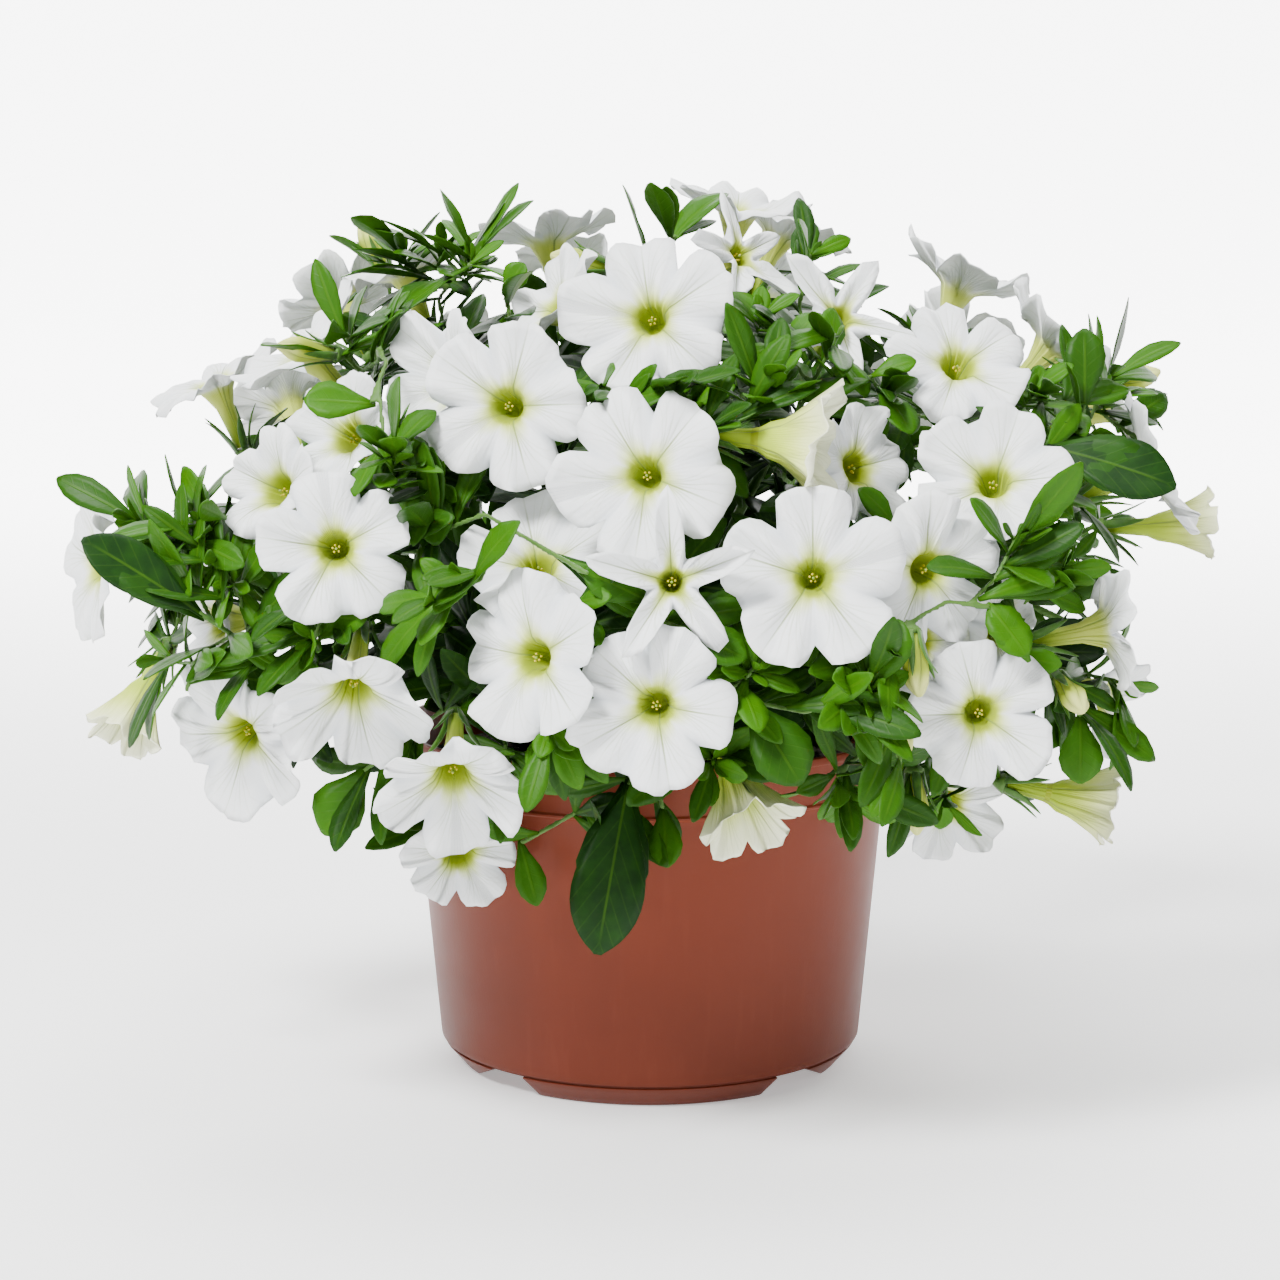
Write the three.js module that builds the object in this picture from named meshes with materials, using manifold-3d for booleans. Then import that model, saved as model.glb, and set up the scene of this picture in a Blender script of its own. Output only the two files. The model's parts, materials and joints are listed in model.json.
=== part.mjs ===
// A calibrachoa in bloom, grown in a round plastic pot.
// Millimetres, +Z up. The origin is the middle of the pot's foot plane, and the front looks towards -Y.
import * as THREE from 'three';
import { mergeVertices } from 'three/addons/utils/BufferGeometryUtils.js';
import Module from 'manifold-3d';

const wasm = await Module();
wasm.setup();

// ------------------------------------------------------------------ driving dimensions

const POT_HEIGHT = 81;
const RIM_RADIUS = 60;
const BAND_HEIGHT = 12.2;
const BAND_FOOT_RADIUS = 57;
const BODY_TOP_RADIUS = 55.9;
const CREASE_RADIUS = 50;
const CREASE_HEIGHT = 5.6;
const FOOT_OUTER_RADIUS = 45.5;
const FOOT_INNER_RADIUS = 38;
const LIP_HEIGHT = 1.6;
const LIP_STEP = 0.8;
const WALL = 1.3;
const FLOOR_UNDERSIDE = 4.5;
const FLOOR_TOP = 6.4;
const FOOT_GAPS = 4;
const FOOT_GAP_TOP = [36.5, 47.5];
const FOOT_GAP_BOTTOM = [34, 65.5];
const FOOT_GAP_HEIGHT = 5.2;
const FOOT_GAP_MIDDLE = 45;
const FOOT_CUT_START = 29;
const FOOT_CUT_DEPTH = 26;
const DRAIN_HOLES = 4;
const DRAIN_HOLE_RADIUS = 4;
const DRAIN_HOLE_CIRCLE = 29;
const DRAIN_HOLE_DEPTH = 8;
const POT_SIDES = 30;

const FIT = 0.3;
const SOIL_FIT = 0.55;
const SOIL_EDGE_HEIGHT = 72;
const SOIL_MOUND = 2;
const SOIL_SIDES = 16;
const HOLE_RADIUS = 3.2;
const HOLE_BOTTOM = 60;

const STEM_SIDES = 5;
const STEM_STEPS = 7;
const STEM_RADIUS = 2.1;
const STEM_TIP_RADIUS = 1.2;
const STEM_NECK = 3;
const HOLE_CLEARANCE = 0.1;
const TWIG_SIDES = 3;
const TWIG_RADIUS = 1.3;
const TWIG_TIP_RADIUS = 1.0;
const TWIG_STEP = 28;
const START_TRIES = 60;
const START_SHARES = [0.2, 0.5, 0.8];
const SHORTEST_TWIG = 6;
const CROWDED = 5;
const CROWD_COST = 12;
const TURN_COST = 14;
const FORK_COST = 8;
const TWIG_REACH = 0.45;
const TWIG_LEAN = 0.6;

const TUBE_LENGTH = 20;
const TUBE_BASE_RADIUS = 1.7;
const PETAL = 0.75;
const LOBES = 5;
const LOBE_TURN = 72;
const HALF_LOBE = 36;
const LOBE_WAVE = 0.9;
const LOBE_TWIST = 0.8;
const LOBE_REACH = [0.95, 1];
const NOTCH_DROP = 0.4;
const THROAT_FLARE = 0.9;
const THROAT_WALL = 1.8;
const HEART_DEPTH = 4;
const SEPAL_LENGTH = 9.5;
const SEPAL_LENGTHS = [0.85, 1.05];
const SEPAL_REACH = [6, 7.5];
const CALYX_DEPTH = 3;
const CALYX_RADIUS = 2.7;
const CALYX_HEEL_RADIUS = 2.4;
const CALYX_HEEL_DEPTH = 1.3;
const CALYX_SEAT = 0.4;
const CALYX_SINK = 1;
const BUD_LENGTH = 13;
const BUD_SEPAL_REACH = 5;
const BUD_BELLY = 0.62;

const LEAF_RIB = 0.9;
const LEAF_ROOT = 0.7;
const LARGE_LEAF = 23;
const SMALL_LEAF_WIDEST = 0.55;
const LARGE_LEAF_WIDEST = 0.42;
const LARGE_LEAF_SHOULDER = 0.8;
const SHOULDER_WIDTH = 0.78;
const LEAF_NECK = 3;
const LEAF_SPACING = 3;

const CROWN_HEIGHT = 112;
const CROWN_ACROSS = 134;
const CROWN_DEEP = 122;
const CROWN_UP = 90;
const CROWN_DOWN = 58;

// The tables below give places as they look from the front, from this height and distance.
const LOOK_DOWN = THREE.MathUtils.degToRad(9);
const LOOK_DISTANCE = 744;
const LOOK_HEIGHT = 98;
const NEAREST = 160;
const FARTHEST = -40;

const SEED = 20;
const MAX_FILES = 60;
const JOIN_TOLERANCE = 0.1;
const TINY_EDGE = 0.03;
const THIN_TRIANGLE = 0.01;
const MOST_EDITS = 400;
const TOUCH = 0.002;
const BLOOM_TOTAL = 54;
const BACK_BLOOM_PLACES = 78;
const BACK_BLOOM_LOW = -0.78;
const BACK_BLOOM_SPACING = 40;
const BACK_BLOOM_RADIUS = [15, 18];
const BACK_BLOOM_CUP = [-1, 3];
const SIDE_START = -70;
const BACK_SHOOTS = 13;
const BACK_SHOOT_PLACES = 110;
const BACK_SHOOT_LOW = -0.85;
const BACK_SHOOT_LEAVES = 3;
const BACK_SHOOT_REACH = 112;
const BACK_SHOOT_SPACING = 27;

// ------------------------------------------------------------------ small helpers

const v = (x, y, z) => new THREE.Vector3(x, y, z);
const degrees = THREE.MathUtils.degToRad;
const mix = (a, b, t) => a + (b - a) * t;
const GOLDEN_ANGLE = degrees(137.5);

let seedState = SEED;
function random() {
  seedState = (seedState * 1664525 + 1013904223) % 4294967296;
  return seedState / 4294967296;
}

const between = (low, high) => mix(low, high, random());

// A closed skin of triangles. Rings run counter-clockwise round the direction of travel.
class Shell {
  constructor() {
    this.points = [];
    this.faces = [];
  }

  add(point) {
    this.points.push(point);
    return this.points.length - 1;
  }

  ring(points) {
    return points.map((point) => this.add(point));
  }

  face(a, b, c) {
    this.faces.push(a, b, c);
  }

  bridge(lower, upper) {
    const count = lower.length;
    for (let i = 0; i < count; i += 1) {
      const next = (i + 1) % count;
      this.face(lower[i], lower[next], upper[next]);
      this.face(lower[i], upper[next], upper[i]);
    }
  }

  point(ring, tip) {
    ring.forEach((corner, i) => this.face(corner, ring[(i + 1) % ring.length], tip));
  }

  startCap(ring) {
    for (let i = 1; i + 1 < ring.length; i += 1) this.face(ring[0], ring[i + 1], ring[i]);
  }

  endCap(ring) {
    for (let i = 1; i + 1 < ring.length; i += 1) this.face(ring[0], ring[i], ring[i + 1]);
  }

  geometry() {
    const geometry = new THREE.BufferGeometry();
    const positions = this.points.flatMap((point) => [point.x, point.y, point.z]);
    geometry.setAttribute('position', new THREE.Float32BufferAttribute(positions, 3));
    geometry.setIndex(this.faces);
    return geometry;
  }
}

function solidOf(geometry) {
  const bare = geometry.index ? geometry.clone() : geometry;
  bare.deleteAttribute('normal');
  bare.deleteAttribute('uv');
  const merged = mergeVertices(bare, 1e-4);
  const corners = [];
  for (let i = 0; i < merged.index.count; i += 3) {
    const [a, b, c] = [0, 1, 2].map((step) => merged.index.getX(i + step));
    if (a !== b && b !== c && c !== a) corners.push(a, b, c);
  }
  return new wasm.Manifold(new wasm.Mesh({
    numProp: 3,
    vertProperties: new Float32Array(merged.attributes.position.array),
    triVerts: new Uint32Array(corners),
  }));
}

function geometryOf(solid) {
  const mesh = solid.getMesh();
  const geometry = new THREE.BufferGeometry();
  geometry.setAttribute('position', new THREE.BufferAttribute(new Float32Array(mesh.vertProperties), 3));
  geometry.setIndex(new THREE.BufferAttribute(new Uint32Array(mesh.triVerts), 1));
  return geometry;
}

// The faces of a closed mesh, with the edits that take needle-thin triangles and tiny edges out of a join.
class Skin {
  constructor(solid) {
    const mesh = solid.getMesh();
    this.points = [];
    for (let i = 0; i < mesh.vertProperties.length; i += 3) {
      this.points.push(v(...mesh.vertProperties.slice(i, i + 3)));
    }
    this.faces = [];
    for (let i = 0; i < mesh.triVerts.length; i += 3) this.faces.push([...mesh.triVerts.slice(i, i + 3)]);
    this.link();
  }

  link() {
    this.across = new Map();
    this.around = this.points.map(() => new Set());
    this.faces.forEach((face, index) => {
      for (let k = 0; k < 3; k += 1) {
        const [a, b] = [face[k], face[(k + 1) % 3]];
        this.across.set(`${a} ${b}`, index);
        this.around[a].add(b);
        this.around[b].add(a);
      }
    });
  }

  length(a, b) {
    return this.points[a].distanceTo(this.points[b]);
  }

  // Draws the ends of one tiny edge together.
  closeTinyEdge() {
    for (const [a, b, c] of this.faces) {
      for (const [from, to] of [[a, b], [b, c], [c, a]]) {
        const shared = [...this.around[from]].filter((other) => this.around[to].has(other));
        if (this.length(from, to) < TINY_EDGE && shared.length === 2) {
          const moved = this.faces.map((face) => face.map((corner) => (corner === from ? to : corner)));
          this.faces = moved.filter(([p, q, r]) => p !== q && q !== r && r !== p);
          this.link();
          return true;
        }
      }
    }
    return false;
  }

  // Turns the long edge of one needle-thin triangle the other way.
  turnThinTriangle() {
    for (let index = 0; index < this.faces.length; index += 1) {
      const face = this.faces[index];
      const turns = [0, 1, 2].map((k) => [face[k], face[(k + 1) % 3], face[(k + 2) % 3]]);
      const [a, b, c] = turns.sort((p, q) => this.length(q[0], q[1]) - this.length(p[0], p[1]))[0];
      const triangle = new THREE.Triangle(this.points[a], this.points[b], this.points[c]);
      const height = (2 * triangle.getArea()) / this.length(a, b);
      const other = this.across.get(`${b} ${a}`);
      const d = this.faces[other].find((corner) => corner !== a && corner !== b);
      if (height < THIN_TRIANGLE && c !== d && !this.around[c].has(d)) {
        this.faces[index] = [a, d, c];
        this.faces[other] = [d, b, c];
        this.link();
        return true;
      }
    }
    return false;
  }

  // Where two parts of the skin only touch, draws both a hair's breadth inward.
  partTouchingCorners() {
    this.points.forEach((point, index) => {
      const touching = this.points.some((other, i) => {
        return i !== index && !this.around[index].has(i) && other.distanceTo(point) < TOUCH;
      });
      if (touching) {
        const outward = v(0, 0, 0);
        const own = this.faces.filter((face) => face.includes(index));
        for (const face of own) {
          const triangle = new THREE.Triangle(...face.map((corner) => this.points[corner]));
          outward.add(triangle.getNormal(v(0, 0, 0)));
        }
        point.addScaledVector(outward.normalize(), -TINY_EDGE);
      }
    });
  }

  solid() {
    return new wasm.Manifold(new wasm.Mesh({
      numProp: 3,
      vertProperties: new Float32Array(this.points.flatMap((point) => point.toArray())),
      triVerts: new Uint32Array(this.faces.flat()),
    }));
  }
}

function union(solids) {
  const skin = new Skin(wasm.Manifold.union(solids).simplify(JOIN_TOLERANCE));
  for (let edits = 0; edits < MOST_EDITS; edits += 1) {
    if (!skin.closeTinyEdge() && !skin.turnThinTriangle()) break;
  }
  skin.partTouchingCorners();
  return skin.solid();
}

// ------------------------------------------------------------------ pot

const bandFoot = POT_HEIGHT - BAND_HEIGHT;

function bodyRadius(height) {
  return mix(CREASE_RADIUS, BODY_TOP_RADIUS, (height - CREASE_HEIGHT) / (bandFoot - CREASE_HEIGHT));
}

function lathe(profile, sides) {
  const points = profile.map(([radius, height]) => new THREE.Vector2(radius, height));
  return new THREE.LatheGeometry(points, sides).rotateX(Math.PI / 2).rotateZ(Math.PI / sides);
}

function makePot() {
  const profile = [
    [0, FLOOR_UNDERSIDE],
    [FOOT_INNER_RADIUS, FLOOR_UNDERSIDE],
    [FOOT_INNER_RADIUS + 1, 0],
    [FOOT_OUTER_RADIUS, 0],
    [mix(FOOT_OUTER_RADIUS, CREASE_RADIUS, 0.8), CREASE_HEIGHT * 0.6],
    [CREASE_RADIUS, CREASE_HEIGHT],
    [BODY_TOP_RADIUS, bandFoot],
    [BAND_FOOT_RADIUS, bandFoot + 0.6],
    [RIM_RADIUS - LIP_STEP, POT_HEIGHT - LIP_HEIGHT - LIP_STEP / 2],
    [RIM_RADIUS, POT_HEIGHT - LIP_HEIGHT],
    [RIM_RADIUS, POT_HEIGHT],
    [RIM_RADIUS - WALL, POT_HEIGHT],
    [BODY_TOP_RADIUS - WALL, bandFoot + 1],
    [bodyRadius(FLOOR_TOP) - WALL, FLOOR_TOP],
    [0, FLOOR_TOP],
  ];
  let pot = solidOf(lathe(profile, POT_SIDES));
  for (let i = 0; i < FOOT_GAPS; i += 1) {
    const mirror = i % 2 ? 1 : -1;
    const across = (radius, angle) => mirror * radius * Math.sin(degrees(angle - FOOT_GAP_MIDDLE));
    const gap = new THREE.Shape([
      new THREE.Vector2(across(FOOT_OUTER_RADIUS, FOOT_GAP_BOTTOM[0]), -0.5),
      new THREE.Vector2(across(FOOT_OUTER_RADIUS, FOOT_GAP_BOTTOM[1]), -0.5),
      new THREE.Vector2(across(CREASE_RADIUS, FOOT_GAP_TOP[1]), FOOT_GAP_HEIGHT),
      new THREE.Vector2(across(CREASE_RADIUS, FOOT_GAP_TOP[0]), FOOT_GAP_HEIGHT),
    ]);
    const cutter = new THREE.ExtrudeGeometry(gap, { depth: FOOT_CUT_DEPTH, bevelEnabled: false });
    cutter.rotateX(Math.PI / 2).translate(0, FOOT_CUT_START + FOOT_CUT_DEPTH, 0);
    cutter.rotateZ(degrees(FOOT_GAP_MIDDLE + (360 / FOOT_GAPS) * i));
    pot = pot.subtract(solidOf(cutter));
  }
  for (let i = 0; i < DRAIN_HOLES; i += 1) {
    const hole = new THREE.CylinderGeometry(DRAIN_HOLE_RADIUS, DRAIN_HOLE_RADIUS, DRAIN_HOLE_DEPTH, 8);
    hole.rotateX(Math.PI / 2).translate(DRAIN_HOLE_CIRCLE, 0, FLOOR_TOP);
    hole.rotateZ(degrees((360 / DRAIN_HOLES) * i));
    pot = pot.subtract(solidOf(hole));
  }
  return pot;
}

// ------------------------------------------------------------------ soil and the stems' holes

function innerRadius(height) {
  if (height < bandFoot + 1) return bodyRadius(height) - WALL;
  const rise = (height - bandFoot - 1) / (BAND_HEIGHT - 1);
  return mix(BODY_TOP_RADIUS, RIM_RADIUS, rise) - WALL;
}

function makeSoil(roots) {
  const floor = FLOOR_TOP + FIT;
  const edge = innerRadius(SOIL_EDGE_HEIGHT) - SOIL_FIT;
  const profile = [
    [0, floor],
    [innerRadius(floor) - SOIL_FIT, floor],
    [innerRadius(bandFoot) - SOIL_FIT, bandFoot],
    [edge, SOIL_EDGE_HEIGHT],
    [edge * 0.72, SOIL_EDGE_HEIGHT + SOIL_MOUND * 0.5],
    [edge * 0.4, SOIL_EDGE_HEIGHT + SOIL_MOUND],
    [0, SOIL_EDGE_HEIGHT + SOIL_MOUND],
  ];
  let soil = solidOf(lathe(profile, SOIL_SIDES));
  for (const root of roots) {
    const depth = 2 * (SOIL_EDGE_HEIGHT + SOIL_MOUND + 4 - HOLE_BOTTOM);
    const hole = new THREE.CylinderGeometry(HOLE_RADIUS, HOLE_RADIUS, depth, STEM_SIDES + 1);
    hole.rotateX(Math.PI / 2).translate(root.x, root.y, HOLE_BOTTOM + depth / 2);
    soil = soil.subtract(solidOf(hole));
  }
  return soil;
}

// ------------------------------------------------------------------ corolla

// The five-lobed corolla of one bloom. The mouth lies at the origin and opens towards +Z.
const COROLLAS = {
  open: { notch: 0.8, shoulder: 15, throat: 4.2, throatDepth: 3.4, rise: -1.4, tube: TUBE_LENGTH },
  star: { notch: 0.36, shoulder: 9, throat: 3.2, throatDepth: 2.6, rise: 1.5, tube: TUBE_LENGTH },
  trumpet: { notch: 0.82, shoulder: 13, throat: 4.6, throatDepth: 12, rise: -1, tube: 27 },
};

function corollaShell(kind, radius, cup, sink) {
  const form = COROLLAS[kind];
  const shell = new Shell();
  const polar = (angle, reach, height) => v(reach * Math.cos(angle), reach * Math.sin(angle), height);
  const throat = Math.min(form.throat, radius * 0.5);
  const rim = [];
  const tubeRing = [];
  const throatOut = [];
  const throatIn = [];
  for (let lobe = 0; lobe < LOBES; lobe += 1) {
    const middle = degrees(LOBE_TURN * lobe);
    const wave = between(-LOBE_WAVE, LOBE_WAVE) + cup;
    const shoulder = degrees(form.shoulder);
    const level = form.rise + wave;
    rim.push(polar(middle - degrees(HALF_LOBE), radius * form.notch, form.rise + cup * 0.8 - NOTCH_DROP));
    rim.push(polar(middle - shoulder, radius * between(...LOBE_REACH), level + between(0, LOBE_TWIST)));
    rim.push(polar(middle + shoulder, radius * between(...LOBE_REACH), level - between(0, LOBE_TWIST)));
    tubeRing.push(polar(middle, TUBE_BASE_RADIUS, -form.tube - sink));
    throatOut.push(polar(middle, throat + THROAT_FLARE, -form.throatDepth - THROAT_WALL));
    throatIn.push(polar(middle, throat, -form.throatDepth));
  }
  const rimOut = rim.map((point) => point.clone().add(v(0, 0, -PETAL)));
  const tube = shell.ring(tubeRing);
  const outer = shell.ring(throatOut);
  const under = shell.ring(rimOut);
  const edge = shell.ring(rim);
  const inner = shell.ring(throatIn);
  const heart = shell.add(v(0, 0, -form.throatDepth - HEART_DEPTH));
  shell.startCap(tube);
  shell.bridge(tube, outer);
  for (let lobe = 0; lobe < LOBES; lobe += 1) {
    const next = (lobe + 1) % LOBES;
    const corners = [0, 1, 2, 3].map((step) => (3 * lobe + step) % (3 * LOBES));
    for (let step = 0; step < 3; step += 1) {
      shell.face(outer[lobe], under[corners[step + 1]], under[corners[step]]);
      shell.face(edge[corners[step]], edge[corners[step + 1]], inner[lobe]);
    }
    shell.face(outer[lobe], outer[next], under[corners[3]]);
    shell.face(edge[corners[3]], inner[next], inner[lobe]);
  }
  shell.bridge(under, edge);
  shell.point(inner, heart);
  return shell;
}

// ------------------------------------------------------------------ stems, calyxes, buds and leaves

// Rings along a path, swept back from the far end, so that the last ring keeps a given side direction.
function sweep(shell, path, radii, sides, farSide) {
  const tangents = path.map((point, i) => {
    const before = path[Math.max(0, i - 1)];
    const after = path[Math.min(path.length - 1, i + 1)];
    return after.clone().sub(before).normalize();
  });
  const rings = [];
  let side = farSide.clone();
  for (let i = path.length - 1; i >= 0; i -= 1) {
    side.addScaledVector(tangents[i], -side.dot(tangents[i])).normalize();
    const other = tangents[i].clone().cross(side);
    const corners = [];
    for (let k = 0; k < sides; k += 1) {
      const angle = (2 * Math.PI * k) / sides;
      const offset = side.clone().multiplyScalar(Math.cos(angle)).addScaledVector(other, Math.sin(angle));
      corners.push(path[i].clone().addScaledVector(offset, radii[i]));
    }
    rings.unshift(shell.ring(corners));
    side = side.clone();
  }
  shell.startCap(rings[0]);
  for (let i = 1; i < rings.length; i += 1) shell.bridge(rings[i - 1], rings[i]);
  return rings[rings.length - 1];
}

function anySide(direction) {
  const helper = Math.abs(direction.z) < 0.9 ? v(0, 0, 1) : v(1, 0, 0);
  return helper.cross(direction).normalize();
}

// A five-pointed calyx on the last ring of its stalk, open for a corolla or closed by a bud. Each sepal has
// a heel under its seat, which keeps its blade thick down to the root.
function addCalyx(shell, stalkRing, frame, floor, sepalReach, budLength) {
  const place = (angle, reach, height) => {
    return v(reach * Math.cos(angle), reach * Math.sin(angle), height).applyMatrix4(frame);
  };
  const seat = [];
  const heels = [];
  const tips = [];
  for (let i = 0; i < LOBES; i += 1) {
    const angle = degrees(LOBE_TURN * i);
    const length = SEPAL_LENGTH * between(...SEPAL_LENGTHS);
    seat.push(shell.add(place(angle - degrees(HALF_LOBE), CALYX_RADIUS, floor)));
    heels.push(shell.add(place(angle, CALYX_HEEL_RADIUS, floor - CALYX_HEEL_DEPTH)));
    tips.push(shell.add(place(angle, sepalReach, floor + length)));
  }
  const nearest = [0, 1, 1, 2, 2];
  for (let i = 0; i < LOBES; i += 1) {
    const next = (i + 1) % LOBES;
    const corner = stalkRing[nearest[i]];
    shell.face(corner, heels[i], seat[i]);
    shell.face(corner, seat[next], heels[i]);
    shell.face(heels[i], tips[i], seat[i]);
    shell.face(heels[i], seat[next], tips[i]);
    if (nearest[i] !== nearest[next]) shell.face(corner, stalkRing[nearest[next]], seat[next]);
    shell.face(tips[i], seat[next], seat[i]);
  }
  if (budLength) {
    const belly = seat.map((_, i) => {
      const angle = degrees(LOBE_TURN * i - HALF_LOBE);
      return shell.add(place(angle, CALYX_RADIUS, floor + budLength * BUD_BELLY));
    });
    shell.bridge(seat, belly);
    shell.point(belly, shell.add(place(0, 0, floor + budLength)));
  } else {
    shell.endCap(seat);
  }
}

// A leaf bends in one even arc from its root. The ring next to the tip sits where the blade is widest
// on a small leaf, and near the tip on a large one.
function leafSolid(root, direction, upward, length, width, bend) {
  const side = upward.clone().cross(direction).normalize();
  const up = direction.clone().cross(side).normalize();
  const along = (share) => {
    const angle = bend * share;
    const forward = direction.clone().multiplyScalar(Math.cos(angle)).addScaledVector(up, -Math.sin(angle));
    const normal = up.clone().multiplyScalar(Math.cos(angle)).addScaledVector(direction, Math.sin(angle));
    const middle = root.clone();
    if (Math.abs(bend) < 1e-3) {
      middle.addScaledVector(direction, length * share);
    } else {
      middle.addScaledVector(direction, (length / bend) * Math.sin(angle));
      middle.addScaledVector(up, -(length / bend) * (1 - Math.cos(angle)));
    }
    return { middle, forward, normal };
  };
  const shell = new Shell();
  const station = (share, wide) => {
    const { middle, normal } = along(share);
    return shell.ring([
      middle.clone().addScaledVector(side, wide / 2),
      middle.clone().addScaledVector(side, -wide / 2),
      middle.clone().addScaledVector(normal, -LEAF_RIB),
    ]);
  };
  const upperRoot = shell.add(root.clone().addScaledVector(up, LEAF_ROOT / 2));
  const lowerRoot = shell.add(root.clone().addScaledVector(up, -LEAF_ROOT / 2));
  const large = length >= LARGE_LEAF;
  const [right, left, rib] = station(large ? LARGE_LEAF_WIDEST : SMALL_LEAF_WIDEST, width);
  shell.face(lowerRoot, upperRoot, right);
  shell.face(upperRoot, lowerRoot, left);
  shell.face(upperRoot, left, right);
  shell.face(lowerRoot, right, rib);
  shell.face(lowerRoot, rib, left);
  let lastRing = [right, left, rib];
  if (large) {
    const [right2, left2, rib2] = station(LARGE_LEAF_SHOULDER, width * SHOULDER_WIDTH);
    shell.face(right, left, left2);
    shell.face(right, left2, right2);
    shell.face(left, rib, rib2);
    shell.face(left, rib2, left2);
    shell.face(rib, right, rib2);
    shell.face(right, right2, rib2);
    lastRing = [right2, left2, rib2];
  }
  shell.point(lastRing, shell.add(along(1).middle));
  return solidOf(shell.geometry());
}

// ------------------------------------------------------------------ places as seen from the front

const lookRight = v(1, 0, 0);
const lookUp = v(0, Math.sin(LOOK_DOWN), Math.cos(LOOK_DOWN));
const lookBack = v(0, -Math.cos(LOOK_DOWN), Math.sin(LOOK_DOWN));

function crownDepth(point) {
  const rise = point.z - CROWN_HEIGHT;
  const tall = rise > 0 ? CROWN_UP : CROWN_DOWN;
  return Math.hypot(point.x / CROWN_ACROSS, point.y / CROWN_DEEP, rise / tall);
}

function onSightLine(across, up, nearness) {
  const scale = 1 - nearness / LOOK_DISTANCE;
  const upFromAim = up - LOOK_HEIGHT * Math.cos(LOOK_DOWN);
  const point = v(0, 0, LOOK_HEIGHT).addScaledVector(lookRight, across * scale);
  return point.addScaledVector(lookUp, upFromAim * scale).addScaledVector(lookBack, nearness);
}

// How near to the eye the crown's surface is at this place.
function crownNearness(across, up) {
  let best = NEAREST;
  for (let nearness = NEAREST; nearness >= FARTHEST; nearness -= 1) {
    const depth = crownDepth(onSightLine(across, up, nearness));
    if (depth < crownDepth(onSightLine(across, up, best))) best = nearness;
    if (depth <= 1) break;
  }
  return best;
}

const seenAt = (across, up, lift) => onSightLine(across, up, crownNearness(across, up) + lift);

function heading(yaw, pitch) {
  const flat = Math.cos(degrees(pitch));
  const direction = lookRight.clone().multiplyScalar(Math.sin(degrees(yaw)) * flat);
  direction.addScaledVector(lookBack, Math.cos(degrees(yaw)) * flat);
  return direction.addScaledVector(lookUp, Math.sin(degrees(pitch))).normalize();
}

// ------------------------------------------------------------------ what grows where

// Across and up from the pot's foot in mm, the way the mouth faces (yaw to the right, pitch up, in degrees),
// the corolla's radius, its form, how far its lobes lean forward, and its shift towards the eye.
const FRONT_BLOOMS = [
  [-1, 177, -15, 15, 18.5, 'open', 0, 2],
  [-35, 155, -12, 0, 17.5, 'open', 0, 0],
  [-2, 139, -12, 5, 18.4, 'open', 0, 3],
  [39, 114, 0, 0, 18.4, 'open', 0, 4],
  [68, 115, 25, -10, 16, 'open', 0, 0],
  [74, 167, 10, 32, 15.5, 'open', 0, 0],
  [81, 139, -10, 28, 16.5, 'open', 0, 0],
  [77, 82, 5, -5, 16, 'open', 0, 2],
  [1, 83, -5, -5, 17, 'open', 0, 4],
  [-30, 95, -30, 0, 17.5, 'open', 0, 0],
  [-37, 121, -5, 42, 17, 'open', 0, 0],
  [-75, 121, 0, 0, 16, 'open', 0, 3],
  [4, 113, 0, 0, 15, 'star', 0, 3],
  [-53, 165, -50, 10, 15, 'open', 5, 0],
  [-99, 75, -35, -25, 18, 'open', 2, 0],
  [-71, 84, -5, -50, 17, 'open', 4, 0],
  [-47, 64, 0, -45, 16, 'open', 4, 2],
  [-45, 46, 10, -30, 13, 'open', 0, 0],
  [25, 52, 30, -55, 11, 'trumpet', 0, 6],
  [46, 144, 80, -5, 12.5, 'trumpet', 0, 6],
  [24, 192, 45, 20, 13, 'star', -3, 0],
  [46, 177, 15, 20, 15, 'star', -2, -6],
  [52, 141, 40, 10, 13, 'open', 0, -14],
  [-135, 117, -62, 0, 18.5, 'open', 0, -4],
  [-127, 74, -40, -55, 8.5, 'trumpet', 0, 0],
  [-91, 136, -38, 15, 13, 'open', 3, -4],
  [-75, 149, -35, 20, 13, 'open', 2, -8],
  [-106, 104, -60, 0, 15, 'open', 0, -16],
  [-25, 181, -60, 35, 14, 'open', 0, -14],
  [136, 126, 88, 0, 8, 'trumpet', 0, -4],
  [110, 103, 75, 8, 15, 'open', 0, 0],
  [95, 101, 50, -15, 13, 'open', 0, -8],
  [110, 60, 75, -15, 9, 'trumpet', 0, 0],
  [73, 58, 20, -25, 13, 'open', 0, -14],
  [66, 99, 15, 5, 13, 'open', 0, -20],
  [110, 84, 60, -20, 12, 'open', 3, -14],
];

// Buds: across, up, the way the bud points, and its shift towards the eye.
const FRONT_BUDS = [
  [-17, 189, -75, 10, -4],
  [-66, 193, -50, 60, 0],
  [-82, 168, -60, 5, 0],
  [115, 161, 60, 15, 0],
  [100, 86, 20, -30, 2],
  [58, 78, 40, -50, 2],
  [63, 93, 25, -75, 2],
  [63, 60, 10, -80, -2],
];

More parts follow.
